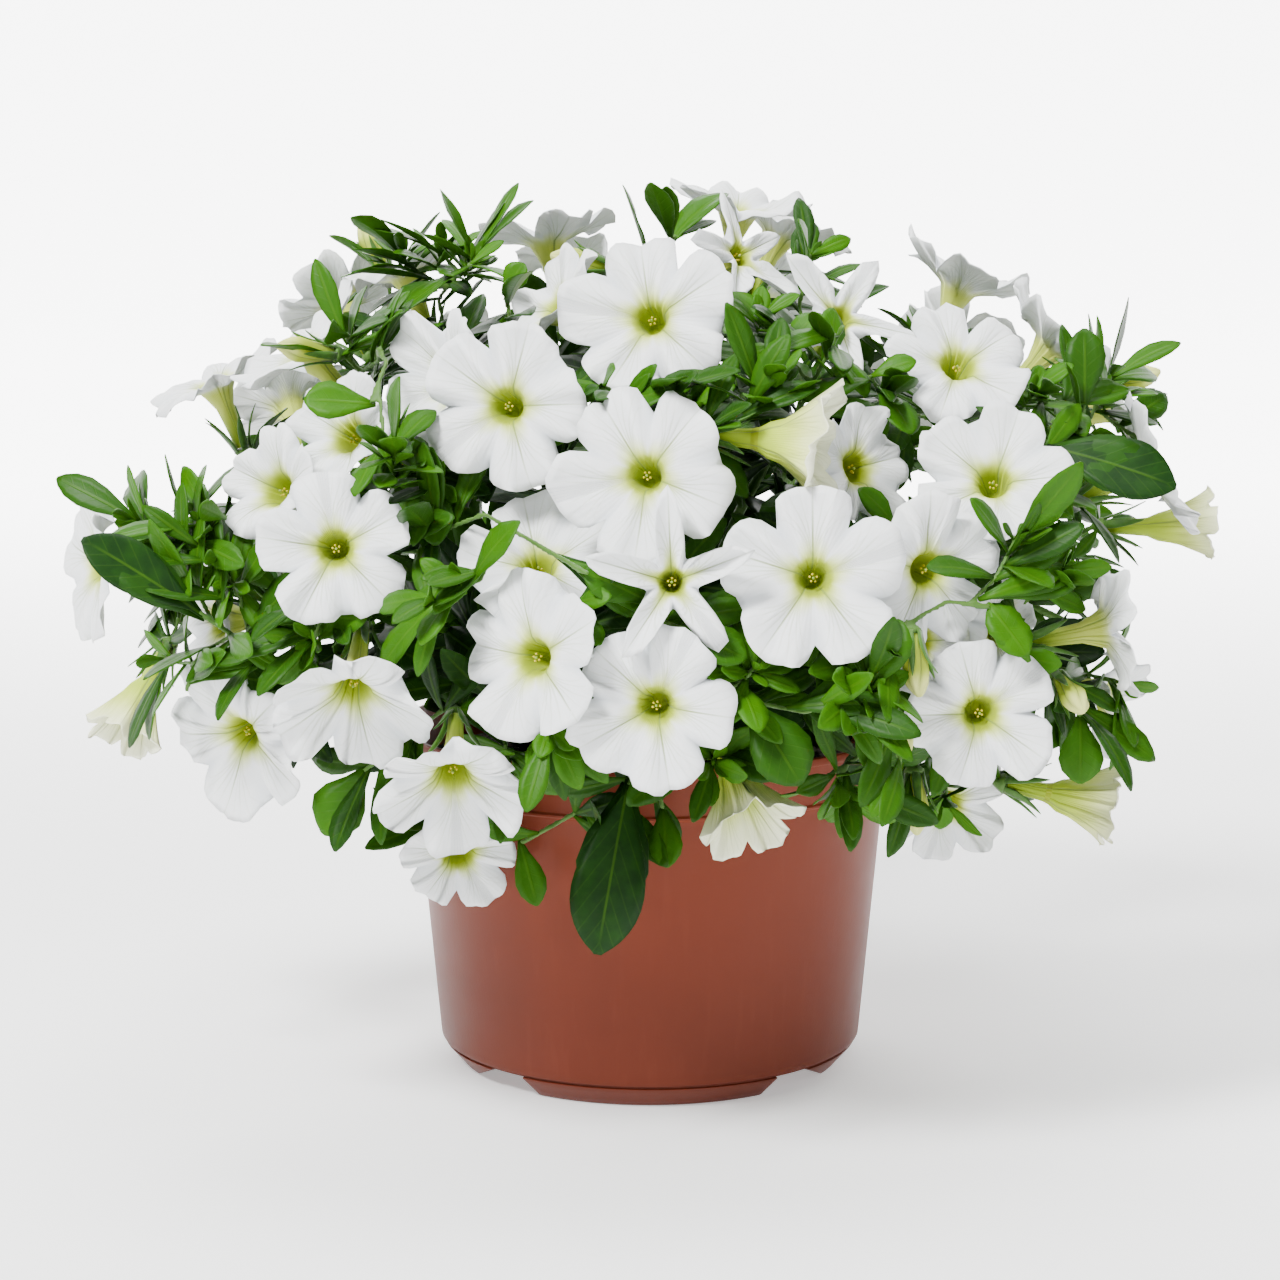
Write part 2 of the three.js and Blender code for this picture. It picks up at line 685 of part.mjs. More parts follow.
// Leafy shoots: across, up, the way the tip points, leaves, their length and width, and the shift.
const FRONT_SHOOTS = [
  [-103, 119, -50, 10, 4, 15, 6, 2],
  [-60, 142, 0, 65, 4, 19, 9, 3],
  [-52, 108, -45, 15, 4, 18, 8, 3],
  [-18, 108, 0, 20, 4, 15, 7.5, 0],
  [-24, 77, 5, 15, 4, 13, 7.5, 3],
  [-59, 190, -20, 75, 4, 17, 4, 0],
  [-50, 192, 15, 75, 4, 17, 4, 0],
  [-43, 188, 35, 55, 4, 17, 5, 0],
  [-72, 172, -70, 10, 4, 18, 8.5, 0],
  [30, 160, 0, 70, 4, 19, 8, 3],
  [46, 174, 45, 25, 4, 16, 8, 2],
  [26, 176, 0, 45, 4, 15, 6.5, 0],
  [109, 162, 25, 60, 4, 17, 4.5, 0],
  [116, 147, 60, 10, 4, 17, 6, 0],
  [87, 124, 25, 45, 4, 19, 8.5, 3],
  [97, 116, 60, 0, 4, 17, 6.5, 2],
  [112, 89, 70, -20, 4, 17, 4.5, 2],
  [25, 93, 10, 35, 4, 18, 8, -3],
  [58, 94, 60, 20, 4, 18, 7.5, 3],
  [46, 62, 25, -65, 4, 19, 8.5, -4],
  [52, 162, 20, 30, 3, 17, 8.5, -8],
  [90, 158, 15, 50, 4, 17, 8, -4],
  [-100, 128, -60, 20, 4, 18, 8, 0],
  [70, 60, 15, -55, 3, 16, 6.5, -10],
  [-122, 127, -75, 30, 4, 19, 4, 0],
  [-116, 95, -75, 0, 4, 15, 5, 0],
  [-32, 66, -10, -35, 3, 19, 9, -24],
  [38, 191, 55, 30, 4, 18, 6.5, 0],
  [-60, 150, -30, 30, 3, 18, 9, -10],
  [10, 155, 20, 30, 3, 18, 9, -10],
  [-80, 98, -30, 0, 3, 18, 9, -8],
  [15, 70, 0, -20, 3, 16, 8, -26],
  [85, 96, 30, -20, 3, 18, 9, -8],
  [-12, 160, -20, 20, 3, 18, 9, -10],
  [60, 128, 20, 20, 3, 18, 9, -12],
  [-50, 136, 0, 20, 3, 18, 9, -10],
];

// Single large leaves: root across and up, tip across and up, width, the root's shift towards the eye,
// and how much nearer than its root the tip comes.
const FRONT_LEAVES = [
  [-106, 105, -133, 122, 11, 6, 6],
  [-67, 69, -77, 54, 12.5, -18, 0],
  [-5, 66, -12, 27, 16, -38, 4],
  [3, 60, 4, 46, 7.5, -36, 4],
  [23, 85, 35, 66, 13, -6, 2],
  [42, 68, 42, 52, 9, -14, 2],
  [-63, 168, -80, 173, 9, 0, 2],
  [103, 154, 103, 172, 9, 0, 0],
  [94, 145, 123, 136, 14, 2, 4],
  [102, 82, 102, 66, 9.5, 2, 0],
  [-31, 52, -27, 37, 7, -24, 2],
  [60, 70, 53, 58, 5, 4, 2],
  [-14, 114, -24, 124, 8, 4, 3],
  [0, 108, -15, 115, 9, 0, 4],
  [6, 194, 6, 209, 6, 0, 0],
  [-41, 192, -28, 194, 3.5, 0, 2],
  [-35, 181, -30, 188, 6, 0, 2],
  [7, 102, 22, 95, 9, -4, 2],
  [52, 87, 59, 103, 10, 2, 2],
  [-110, 88, -111, 76, 7, 2, 2],
  [-108, 128, -92, 126, 8, 2, 0],
  [-83, 108, -97, 113, 10, -6, 2],
  [-65, 155, -81, 156, 9, -4, 2],
  [80, 108, 89, 96, 8, 2, 2],
  [-2, 152, 12, 158, 8, -8, 2],
];

// Where the leafy stems stand in the soil: circles of stems, and how each of them rises and leans out.
const STEM_CIRCLES = [
  { count: 8, first: -90, root: 27, rise: [[28, 78], [36, 96], [56, 108], [80, 112], [100, 104]] },
  { count: 4, first: -45, root: 11, rise: [[12, 82], [18, 112], [32, 138], [48, 158]] },
];

// ------------------------------------------------------------------ growing, clear of what stands there

const stems = [];
const stemCount = STEM_CIRCLES.reduce((sum, circle) => sum + circle.count, 0);
const SEPARATE_BLOOMS = MAX_FILES - 2 - stemCount;
const obstacles = [];
const shootTips = [];

function boxOf(solid) {
  const box = solid.boundingBox();
  return new THREE.Box3(v(...box.min), v(...box.max));
}

function makePiece(solid, kind, owner) {
  return { solid, kind, owner, box: boxOf(solid) };
}

// True when the solid stays clear of every piece but the ones that may touch it.
function isClear(solid, mayTouch) {
  const box = boxOf(solid).expandByScalar(FIT);
  if (box.min.z < 1) return false;
  return obstacles.every((piece) => {
    if (mayTouch(piece) || !piece.box.intersectsBox(box)) return true;
    return piece.solid.minGap(solid, 2 * FIT) > FIT;
  });
}

function addPiece(stem, solid, kind) {
  const piece = makePiece(solid, kind, stem);
  obstacles.push(piece);
  stem.pieces.push(piece);
  return piece;
}

function pathRadii(path, first, last) {
  return path.map((_, i) => mix(first, last, i / (path.length - 1)));
}

// A leafy stem's main shoot, as long as it can be before it meets a bloom.
function makeStem(name, angle, circle) {
  const outward = v(Math.cos(angle), Math.sin(angle), 0);
  const place = ([radius, height]) => outward.clone().multiplyScalar(radius).setZ(height);
  const root = place([circle.root, HOLE_BOTTOM + FIT + HOLE_CLEARANCE]);
  const knots = [root, place([circle.root, SOIL_EDGE_HEIGHT + STEM_NECK]), ...circle.rise.map(place)];
  const whole = new THREE.CatmullRomCurve3(knots).getSpacedPoints(STEM_STEPS);
  for (let count = whole.length; count > 3; count -= 1) {
    const path = whole.slice(0, count);
    const radii = pathRadii(path, STEM_RADIUS, STEM_TIP_RADIUS);
    const shell = new Shell();
    shell.endCap(sweep(shell, path, radii, STEM_SIDES, outward.clone().cross(v(0, 0, 1))));
    const solid = solidOf(shell.geometry());
    if (isClear(solid, () => false)) {
      const stem = { name, pieces: [], spines: [], root };
      const piece = addPiece(stem, solid, 'twig');
      stem.spines.push({ path, radii, piece, starts: [] });
      return stem;
    }
  }
  throw new Error(`${name} has no room`);
}

// Places on all stems where a twig to this target could start, the shortest and least bent first.
function startsFor(target, direction) {
  const starts = [];
  for (const stem of stems) {
    for (const spine of stem.spines) {
      for (let i = 2; i < spine.path.length; i += 1) {
        const tangent = spine.path[i].clone().sub(spine.path[i - 1]).normalize();
        for (const share of START_SHARES) {
          const from = spine.path[i - 1].clone().lerp(spine.path[i], share);
          const way = target.clone().sub(from);
          const length = way.length();
          way.normalize();
          const turn = (1 - way.dot(direction)) * TURN_COST + (1 - way.dot(tangent)) * FORK_COST;
          const near = spine.starts.filter((start) => start.distanceTo(from) < CROWDED);
          const cost = length + turn + near.length * CROWD_COST;
          if (length > SHORTEST_TWIG && way.dot(direction) > -0.5) {
            starts.push({ stem, spine, from, tangent, radius: spine.radii[i], length, cost });
          }
        }
      }
    }
  }
  return starts.sort((a, b) => a.cost - b.cost).slice(0, START_TRIES);
}

function twigPath(start, target, direction, bow) {
  const reach = start.length * TWIG_REACH;
  const leave = target.clone().sub(start.from).normalize();
  leave.addScaledVector(start.tangent, TWIG_LEAN).normalize();
  const curve = new THREE.CubicBezierCurve3(
    start.from,
    start.from.clone().addScaledVector(leave, reach).add(bow),
    target.clone().addScaledVector(direction, -reach).add(bow),
    target,
  );
  const steps = Math.max(2, Math.min(4, Math.round(start.length / TWIG_STEP)));
  return curve.getSpacedPoints(steps);
}

// How far an organ may shift, towards the eye or away, to find room.
const SHIFTS = [0, 3, -3, 6, -6, -9, 9, 12, -12, -15];

// How far a twig may bow aside on its way, to pass what stands there.
const BOWS = [
  v(0, 0, 0),
  v(0, 0, 7),
  v(7, 0, 0),
  v(-7, 0, 0),
  v(0, 7, 0),
  v(0, -7, 0),
  v(0, 0, -7),
  v(0, 0, 14),
  v(12, 0, 0),
  v(-12, 0, 0),
];

// Grows one organ: tries each start and bow until the twig with its organ stands clear.
function grow(target, direction, build, partner) {
  for (const bow of BOWS) {
    for (const start of startsFor(target, direction)) {
      const path = twigPath(start, target, direction, bow);
      const first = Math.min(TWIG_RADIUS, start.radius * 0.9);
      const solid = build(path, first);
      if (isClear(solid, (piece) => piece === partner || piece === start.spine.piece)) {
        const piece = addPiece(start.stem, solid, 'twig');
        const spine = { path, radii: pathRadii(path, first, TWIG_TIP_RADIUS), piece, starts: [] };
        start.stem.spines.push(spine);
        start.spine.starts.push(start.from);
        return { stem: start.stem, spine };
      }
    }
  }
  return null;
}

// Blades of one stem may meet near their roots, so its own pieces are tested against the blade past its neck.
function addLeaf(stem, parent, root, direction, upward, length, width, bend) {
  const blade = leafSolid(root, direction, upward, length, width, bend);
  const pastNeck = root.clone().addScaledVector(direction, LEAF_NECK);
  const outer = leafSolid(pastNeck, direction, upward, length - LEAF_NECK, width, bend);
  if (!isClear(blade, (piece) => piece.owner === stem)) return false;
  if (!isClear(outer, (piece) => piece === parent)) return false;
  addPiece(stem, blade, 'blade');
  return true;
}

// ------------------------------------------------------------------ blooms

function bloomFrame(mouth, facing, roll) {
  const turn = new THREE.Quaternion().setFromUnitVectors(v(0, 0, 1), facing);
  turn.multiply(new THREE.Quaternion().setFromAxisAngle(v(0, 0, 1), roll));
  return new THREE.Matrix4().compose(mouth, turn, v(1, 1, 1));
}

const blooms = [];

const BLOOM_STEPS = 10;
const BLOOM_STEP = 2.2;
const BLOOM_DRIFT = 0.6;

// Sets a corolla where it stands clear of the others, or as near behind as it can.
function placeBloom(spot, facing, radius, kind, cup) {
  const roll = between(0, 2 * Math.PI);
  const fused = blooms.length >= SEPARATE_BLOOMS;
  const geometry = corollaShell(kind, radius, cup, fused ? CALYX_SEAT + CALYX_SINK : 0).geometry();
  const local = solidOf(geometry);
  const inward = v(0, 0, CROWN_HEIGHT).sub(spot).normalize();
  const drifts = [v(0, 0, 0), lookRight, lookUp, lookRight.clone().negate(), lookUp.clone().negate()];
  for (let step = 0; step < BLOOM_STEPS; step += 1) {
    for (const drift of drifts) {
      const mouth = spot.clone().addScaledVector(inward, step * BLOOM_STEP);
      mouth.addScaledVector(drift, 1 + step * BLOOM_DRIFT);
      const frame = bloomFrame(mouth, facing, roll);
      const solid = local.transform(frame.toArray());
      if (isClear(solid, () => false)) {
        const piece = makePiece(solid, 'corolla', null);
        obstacles.push(piece);
        blooms.push({ frame, kind, geometry, local, mouth, fused, piece });
        return true;
      }
    }
  }
  return false;
}

function growCalyx(frame, facing, floor, sepalReach, budLength, partner) {
  const neck = v(0, 0, floor - CALYX_DEPTH).applyMatrix4(frame);
  const side = v(1, 0, 0).transformDirection(frame);
  const build = (path, first) => {
    const shell = new Shell();
    const stalk = sweep(shell, path, pathRadii(path, first, TWIG_TIP_RADIUS), TWIG_SIDES, side);
    addCalyx(shell, stalk, frame, floor, sepalReach, budLength);
    return solidOf(shell.geometry());
  };
  return grow(neck, facing, build, partner);
}

const SETTLE_TURNS = [0, 0.25, -0.25, 0.5, -0.5];
const SETTLE_STEPS = [0, 3, -3, 6, 9];

// Grows the bloom's stalk. A bloom that no stalk can reach moves inward or turns a little until one can.
function settleBloom(bloom) {
  const { fused, piece, local } = bloom;
  const floor = -COROLLAS[bloom.kind].tube - CALYX_SEAT;
  const sepalReach = between(...SEPAL_REACH);
  const inward = v(0, 0, CROWN_HEIGHT).sub(bloom.mouth).normalize();
  const home = bloom.frame;
  for (const turn of SETTLE_TURNS) {
    for (const step of SETTLE_STEPS) {
      const tilt = new THREE.Matrix4().makeRotationZ(turn);
      tilt.setPosition(bloom.mouth.clone().applyMatrix4(tilt).negate().add(bloom.mouth));
      const shift = new THREE.Matrix4().makeTranslation(inward.clone().multiplyScalar(step));
      const frame = shift.multiply(tilt).multiply(home);
      const solid = local.transform(frame.toArray());
      if (isClear(solid, (other) => other === piece)) {
        Object.assign(piece, { solid, box: boxOf(solid) });
        const way = v(0, 0, 1).transformDirection(frame);
        const grown = growCalyx(frame, way, floor, sepalReach, 0, fused ? piece : null);
        if (grown) {
          Object.assign(bloom, { frame, stalk: grown, mouth: v(0, 0, 0).applyMatrix4(frame) });
          return true;
        }
      }
    }
  }
  obstacles.splice(obstacles.indexOf(piece), 1);
  blooms.splice(blooms.indexOf(bloom), 1);
  return false;
}

// ------------------------------------------------------------------ shoots

function pointBehindTip(path, distance) {
  let left = distance;
  for (let i = path.length - 1; i > 0; i -= 1) {
    const step = path[i].distanceTo(path[i - 1]);
    if (left <= step) return path[i].clone().lerp(path[i - 1], left / step);
    left -= step;
  }
  return path[0].clone();
}

const LEAF_TRIES = 5;
const LEAF_SPREAD = [28, 72];
const LEAF_BEND = [0.3, 0.9];
const TIP_GAP = 0.8;
const LEAF_SINK = 0.15;
const TIP_LEAF_SIZE = 0.62;

function growShoot(tip, direction, leaves, length, width) {
  const stalk = grow(tip, direction, (path, first) => {
    const shell = new Shell();
    const ring = sweep(shell, path, pathRadii(path, first, TWIG_TIP_RADIUS), TWIG_SIDES, anySide(direction));
    shell.endCap(ring);
    return solidOf(shell.geometry());
  });
  if (!stalk) return false;
  shootTips.push(tip);
  const side = anySide(direction);
  const other = direction.clone().cross(side);
  for (let i = 0; i < leaves; i += 1) {
    for (let attempt = 0; attempt < LEAF_TRIES; attempt += 1) {
      const angle = i * GOLDEN_ANGLE + attempt * 0.5;
      const outward = side.clone().multiplyScalar(Math.cos(angle)).addScaledVector(other, Math.sin(angle));
      const spread = degrees(mix(...LEAF_SPREAD, i / leaves) + between(-6, 6));
      const way = direction.clone().multiplyScalar(Math.cos(spread));
      way.addScaledVector(outward, Math.sin(spread));
      const root = pointBehindTip(stalk.spine.path, TIP_GAP + i * LEAF_SPACING);
      root.addScaledVector(way, -LEAF_SINK);
      const upward = direction.clone().multiplyScalar(Math.sin(spread));
      upward.addScaledVector(outward, -Math.cos(spread));
      const grown = mix(TIP_LEAF_SIZE, 1, Math.min(1, i / 3));
      const size = grown * between(0.9, 1.1) * (1 - attempt * 0.06);
      const bend = between(...LEAF_BEND);
      const { stem, spine } = stalk;
      if (addLeaf(stem, spine.piece, root, way, upward, length * size, width * size, bend)) break;
    }
  }
  return true;
}

const LARGE_LEAF_BEND = [0.35, 0.55];
const LEAF_SLACK = 1.04;
const STALK_OVERLAP = 1.2;

// Lays a large leaf where it stands clear. Its stalk grows later.
function reserveLeaf([rootAcross, rootUp, tipAcross, tipUp, width, lift, out]) {
  const near = crownNearness(rootAcross, rootUp) + lift;
  for (const shift of SHIFTS) {
    const root = onSightLine(rootAcross, rootUp, near + shift);
    const way = onSightLine(tipAcross, tipUp, near + shift + out).sub(root);
    const length = way.length() * LEAF_SLACK;
    way.normalize();
    const upward = lookBack.clone().add(v(0, 0, 0.5)).normalize();
    const bend = between(...LARGE_LEAF_BEND);
    const hinge = upward.clone().cross(way).normalize();
    const direction = way.clone().applyAxisAngle(hinge, -bend / 2);
    const blade = leafSolid(root, direction, upward, length, width, bend);
    if (isClear(blade, () => false)) {
      const piece = makePiece(blade, 'blade', null);
      obstacles.push(piece);
      return { root, direction, piece };
    }
  }
  return null;
}

function growLeafStalk({ root, direction, piece }) {
  const build = (path, first) => {
    const shell = new Shell();
    const ring = sweep(shell, path, pathRadii(path, first, TWIG_TIP_RADIUS), TWIG_SIDES, anySide(direction));
    shell.endCap(ring);
    return solidOf(shell.geometry());
  };
  const stalk = grow(root.clone().addScaledVector(direction, STALK_OVERLAP), direction, build, piece);
  if (!stalk) {
    obstacles.splice(obstacles.indexOf(piece), 1);
    return false;
  }
  piece.owner = stalk.stem;
  stalk.stem.pieces.push(piece);
  return true;
}

// ------------------------------------------------------------------ the whole plant

function need(placed, what) {
  if (!placed) throw new Error(`${what} has no room`);
}

const stemPlaces = STEM_CIRCLES.flatMap((circle) => {
  return Array.from({ length: circle.count }, (_, i) => {
    const angle = degrees(circle.first + (360 * i) / circle.count);
    return { angle, circle, root: v(circle.root * Math.cos(angle), circle.root * Math.sin(angle), 0) };
  });
});

const pot = makePot();
const soil = makeSoil(stemPlaces.map((place) => place.root));
obstacles.push(makePiece(pot, 'pot', null), makePiece(soil, 'soil', null));

FRONT_BLOOMS.forEach(([across, up, yaw, pitch, radius, kind, cup, lift], i) => {
  need(placeBloom(seenAt(across, up, lift), heading(yaw, pitch), radius, kind, cup), `bloom ${i + 1}`);
});

const largeLeaves = FRONT_LEAVES.map((row) => reserveLeaf(row));

// The sides and the back: places by an even spiral over the crown, where no bloom stands near.
function spiralPlaces(count, low) {
  const places = [];
  for (let i = 0; i < count; i += 1) {
    const height = mix(1, low, (i + 0.5) / count);
    const angle = i * GOLDEN_ANGLE;
    const flat = Math.sqrt(1 - height * height);
    const tall = height > 0 ? CROWN_UP : CROWN_DOWN;
    const across = CROWN_ACROSS * flat * Math.cos(angle);
    const point = v(across, CROWN_DEEP * flat * Math.sin(angle), tall * height);
    const normal = v(
      point.x / CROWN_ACROSS ** 2,
      point.y / CROWN_DEEP ** 2,
      point.z / tall ** 2,
    ).normalize();
    places.push({ point: point.setZ(point.z + CROWN_HEIGHT), normal });
  }
  return places;
}

for (const { point, normal } of spiralPlaces(BACK_BLOOM_PLACES, BACK_BLOOM_LOW)) {
  const nearest = Math.min(...blooms.map((bloom) => bloom.mouth.distanceTo(point)));
  if (nearest > BACK_BLOOM_SPACING && point.y > SIDE_START && blooms.length < BLOOM_TOTAL) {
    const tilt = v(between(-0.35, 0.35), between(-0.35, 0.35), between(-0.2, 0.35));
    const facing = normal.clone().add(tilt).normalize();
    const inward = v(0, 0, CROWN_HEIGHT).sub(point).normalize();
    const spot = point.clone().addScaledVector(inward, between(-4, 5));
    placeBloom(spot, facing, between(...BACK_BLOOM_RADIUS), 'open', between(...BACK_BLOOM_CUP));
  }
}

stemPlaces.forEach(({ angle, circle }, i) => {
  stems.push(makeStem(`stem_${String(i + 1).padStart(2, '0')}`, angle, circle));
});

const innermostFirst = [...blooms].sort((a, b) => crownDepth(a.mouth) - crownDepth(b.mouth));
const front = blooms.slice(0, FRONT_BLOOMS.length);
innermostFirst.forEach((bloom) => need(settleBloom(bloom) || !front.includes(bloom), 'a front stalk'));

FRONT_BUDS.forEach(([across, up, yaw, pitch, lift], i) => {
  const facing = heading(yaw, pitch);
  const roll = between(0, 2 * Math.PI);
  const placed = SHIFTS.some((shift) => {
    const frame = bloomFrame(seenAt(across, up, lift + shift), facing, roll);
    return growCalyx(frame, facing, -BUD_LENGTH * 0.5, BUD_SEPAL_REACH, BUD_LENGTH, null);
  });
  need(placed, `bud ${i + 1}`);
});

largeLeaves.forEach((leaf, i) => need(leaf && growLeafStalk(leaf), `leaf ${i + 1}`));

FRONT_SHOOTS.forEach(([across, up, yaw, pitch, leaves, length, width, lift], i) => {
  const direction = heading(yaw, pitch);
  const placed = SHIFTS.some((shift) => {
    return growShoot(seenAt(across, up, lift + shift), direction, leaves, length, width);
  });
  need(placed, `shoot ${i + 1}`);
});

let backShoots = 0;
for (const { point, normal } of spiralPlaces(BACK_SHOOT_PLACES, BACK_SHOOT_LOW)) {
  const taken = [...blooms.map((bloom) => bloom.mouth), ...shootTips];
  const nearest = Math.min(...taken.map((place) => place.distanceTo(point)));
  const hidden = point.y > -30 && Math.abs(point.x) < BACK_SHOOT_REACH;
  if (nearest > BACK_SHOOT_SPACING && hidden && backShoots < BACK_SHOOTS) {
    const direction = normal.clone().add(v(between(-0.4, 0.4), between(-0.4, 0.4), 0.5)).normalize();
    const placed = SHIFTS.some((shift) => {
      const tip = point.clone().addScaledVector(normal, shift + 1);
      return growShoot(tip, direction, BACK_SHOOT_LEAVES, between(18, 21), between(8, 9.5));
    });
    if (placed) backShoots += 1;
  }
}

// Group of named meshes

const green = new THREE.Color(0x4f7a26);

function material(color, roughness) {
  return new THREE.MeshStandardMaterial({ color, roughness, metalness: 0 });
}

const plant = new THREE.Group();
plant.name = 'calibrachoa';

function addMesh(name, geometry, surface) {
  const mesh = new THREE.Mesh(geometry, surface);
  mesh.name = name;
  plant.add(mesh);
  return mesh;
}

addMesh('pot', geometryOf(pot), material(0x93503a, 0.42));
addMesh('soil', geometryOf(soil), material(0x2b211b, 0.95));
blooms.forEach((bloom, i) => {
  if (bloom.fused) {
    if (bloom.stalk) bloom.stalk.stem.pieces.push(bloom.piece);
  } else {
    const name = `bloom_${String(i + 1).padStart(2, '0')}`;
    addMesh(name, geometryOf(solidOf(bloom.geometry)), material(0xf4f5f2, 0.6)).applyMatrix4(bloom.frame);
  }
});
stems.forEach((stem) => {
  const solid = union(stem.pieces.map((piece) => piece.solid));
  addMesh(stem.name, geometryOf(solid), material(green, 0.55));
});

export default plant;
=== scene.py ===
"""A calibrachoa in bloom, in its plastic pot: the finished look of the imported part."""

import itertools
import json
import math
import random

import bmesh
import bpy
import numpy as np
from mathutils import Matrix, Vector, kdtree, noise
from mathutils.bvhtree import BVHTree

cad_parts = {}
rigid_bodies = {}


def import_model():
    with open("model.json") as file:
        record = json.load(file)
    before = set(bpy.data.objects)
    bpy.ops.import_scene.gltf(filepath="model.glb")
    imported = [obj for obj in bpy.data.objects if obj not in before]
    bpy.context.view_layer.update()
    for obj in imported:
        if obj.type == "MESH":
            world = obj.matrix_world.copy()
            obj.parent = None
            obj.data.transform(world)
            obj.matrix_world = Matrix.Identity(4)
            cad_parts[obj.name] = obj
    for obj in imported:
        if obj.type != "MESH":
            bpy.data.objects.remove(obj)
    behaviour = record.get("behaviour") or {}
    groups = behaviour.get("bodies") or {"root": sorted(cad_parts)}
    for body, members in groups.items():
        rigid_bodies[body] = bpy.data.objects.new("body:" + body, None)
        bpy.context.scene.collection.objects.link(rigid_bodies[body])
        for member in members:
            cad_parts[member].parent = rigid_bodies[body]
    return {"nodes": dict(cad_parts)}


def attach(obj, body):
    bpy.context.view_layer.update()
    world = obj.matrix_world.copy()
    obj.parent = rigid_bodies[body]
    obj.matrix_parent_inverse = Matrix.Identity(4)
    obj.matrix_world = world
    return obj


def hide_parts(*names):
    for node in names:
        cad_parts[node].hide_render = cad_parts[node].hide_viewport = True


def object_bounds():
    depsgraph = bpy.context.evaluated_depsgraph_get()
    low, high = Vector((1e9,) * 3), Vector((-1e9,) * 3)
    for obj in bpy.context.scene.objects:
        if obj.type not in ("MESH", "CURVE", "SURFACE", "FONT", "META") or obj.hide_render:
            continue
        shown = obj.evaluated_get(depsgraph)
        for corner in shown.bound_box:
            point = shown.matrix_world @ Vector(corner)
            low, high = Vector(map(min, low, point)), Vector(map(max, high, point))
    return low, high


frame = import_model()
cad_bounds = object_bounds()

bl_info = {
    "name": "Calibrachoa",
    "version": (1, 0, 0),
    "blender": (4, 5, 0),
    "location": "View3D > Sidebar > Calibrachoa",
    "description": "Builds a potted calibrachoa with its blooms, leaves and pot",
    "category": "Object",
}

# ---- dimensions

# Shapes are worked out in millimetres and become metres when a piece is made.
MM = 0.001
# Random turns are drawn from 0 up to this.
ANY_TURN = 6.28
GOLDEN_TURN = math.radians(137.5)
# An arc that bends less than this is straight.
STRAIGHT = 1e-3

LOBES = 5
LOBE_ANGLE = 360 / LOBES
HALF_LOBE = LOBE_ANGLE / 2

# The corolla's forms: how deep the throat's ring lies, the tube's length, and how the limb flares.
FORMS = {
    "open": {"depth": 3.4, "tube": 20.0, "flare": 0.62},
    "star": {"depth": 2.6, "tube": 20.0, "flare": 0.8},
    "trumpet": {"depth": 12.0, "tube": 27.0, "flare": 0.8},
}
FULL_RADIUS = 16
EYE_SHARE = 0.82
SMALLEST_STAR_WITH_ANTHERS = 11

# The grid that a corolla is made of: columns round it, and rings along its tube, limb and throat.
COLUMNS = 70
LIMB_STEPS = 9
TUBE_RINGS = 5
INNER_RINGS = 4
COROLLA_RINGS = TUBE_RINGS + 2 * LIMB_STEPS + INNER_RINGS
# Radius, share of the tube's length below the limb, and reach along the petal.
TUBE_SKIN = ((1.6, 1.0, -1.0), (1.7, 0.8, -0.82), (1.9, 0.6, -0.62), (2.2, 0.38, -0.4))
TUBE_NECK = (3.2, -0.15)
# Share of the throat's radius, depth below the throat's ring, and reach along the petal.
THROAT_WALL = ((0.9, 2.0, -0.1), (0.8, 3.4, -0.25), (0.65, 5.5, -0.4), (0.5, 7.5, -0.5))
THROAT_FLOOR = (8.2, -0.55)
RIM_WAVES = (9, 13, 19)
RUFFLES = (3, 7, 11, 16)
PUCKERS = 31

# What stands in the throat: distance from the axis, depth below the throat's ring, and size.
ANTHER = (0.75, 1.9, 0.42)
STIGMA = (0.0, 1.3, 0.5)

# How the solids' corollas are known: the heart's depth, and the rim's height or clefts of each form.
HEART_DEPTH = 4.0
HEART_SLACK = 0.12
RING_SLACK = 0.1
TRUMPET_HEIGHT = 6.5
STAR_CLEFT = 0.6

# How the solids' blades are known: the rib under the widest place, and the shoulder of a large leaf.
LEAF_RIB = 0.9
RIB_SLACK = 0.06
SMALL_WIDEST = 0.55
LARGE_SHOULDER = 0.8
SHOULDER_WIDTH = 0.78
BLADE_LENGTHS = (4, 60)
NARROWEST_BLADE = 1.5
TIP_SLACK = 0.25
# What is left of a blade that could not be read: long edges that meet in a sharp corner.
LOST_EDGE = 4
LOST_ANGLE = math.radians(210)

# The calyx's five-sided seat, and the bud.
SEAT_RADIUS = 2.7
SEAT_SIDE = 2 * SEAT_RADIUS * math.sin(math.radians(HALF_LOBE))
BUD_RADIUS = 2.7
BUD_LENGTH = 13.0
BUD_APEX = BUD_LENGTH * 0.38
BUD_PROFILE = (
    (1.5, 0), (1.8, 2.2), (2.15, 4.4), (2.45, 6.6), (2.6, 8.4), (2.2, 10.2), (1.3, 11.8), (0.55, 12.8),
)
BUD_COLUMNS = 20
SEAT_SLACK = 0.04
APEX_SLACK = 0.1
BUD_SLACK = 0.08

# The crown's rounded outline: its middle height and its reach to the sides, to the back, up and down.
CROWN_MIDDLE = 112
CROWN_ACROSS = 134
CROWN_DEEP = 122
CROWN_UP = 90
CROWN_DOWN = 58
# Shares of the way out through the crown, past which leaves turn outwards and stay small.
CROWN_TURN = 0.6
CROWN_SKIN = 0.72
# What leaves keep clear of: the pot's rim, the soil, the pot's wall below the rim and the part's box.
RIM_TOP = 84
RIM_BAND = (53, 63)
SOIL_TOP = 75
LOWEST_LEAF = 58
BOX_MARGIN = 1
# The view into a bloom: how far ahead of it, its share of the bloom's radius, and how it widens.
VIEW_AHEAD = (0.5, 32)
VIEW_SHARE = 0.86
VIEW_SPREAD = 0.1

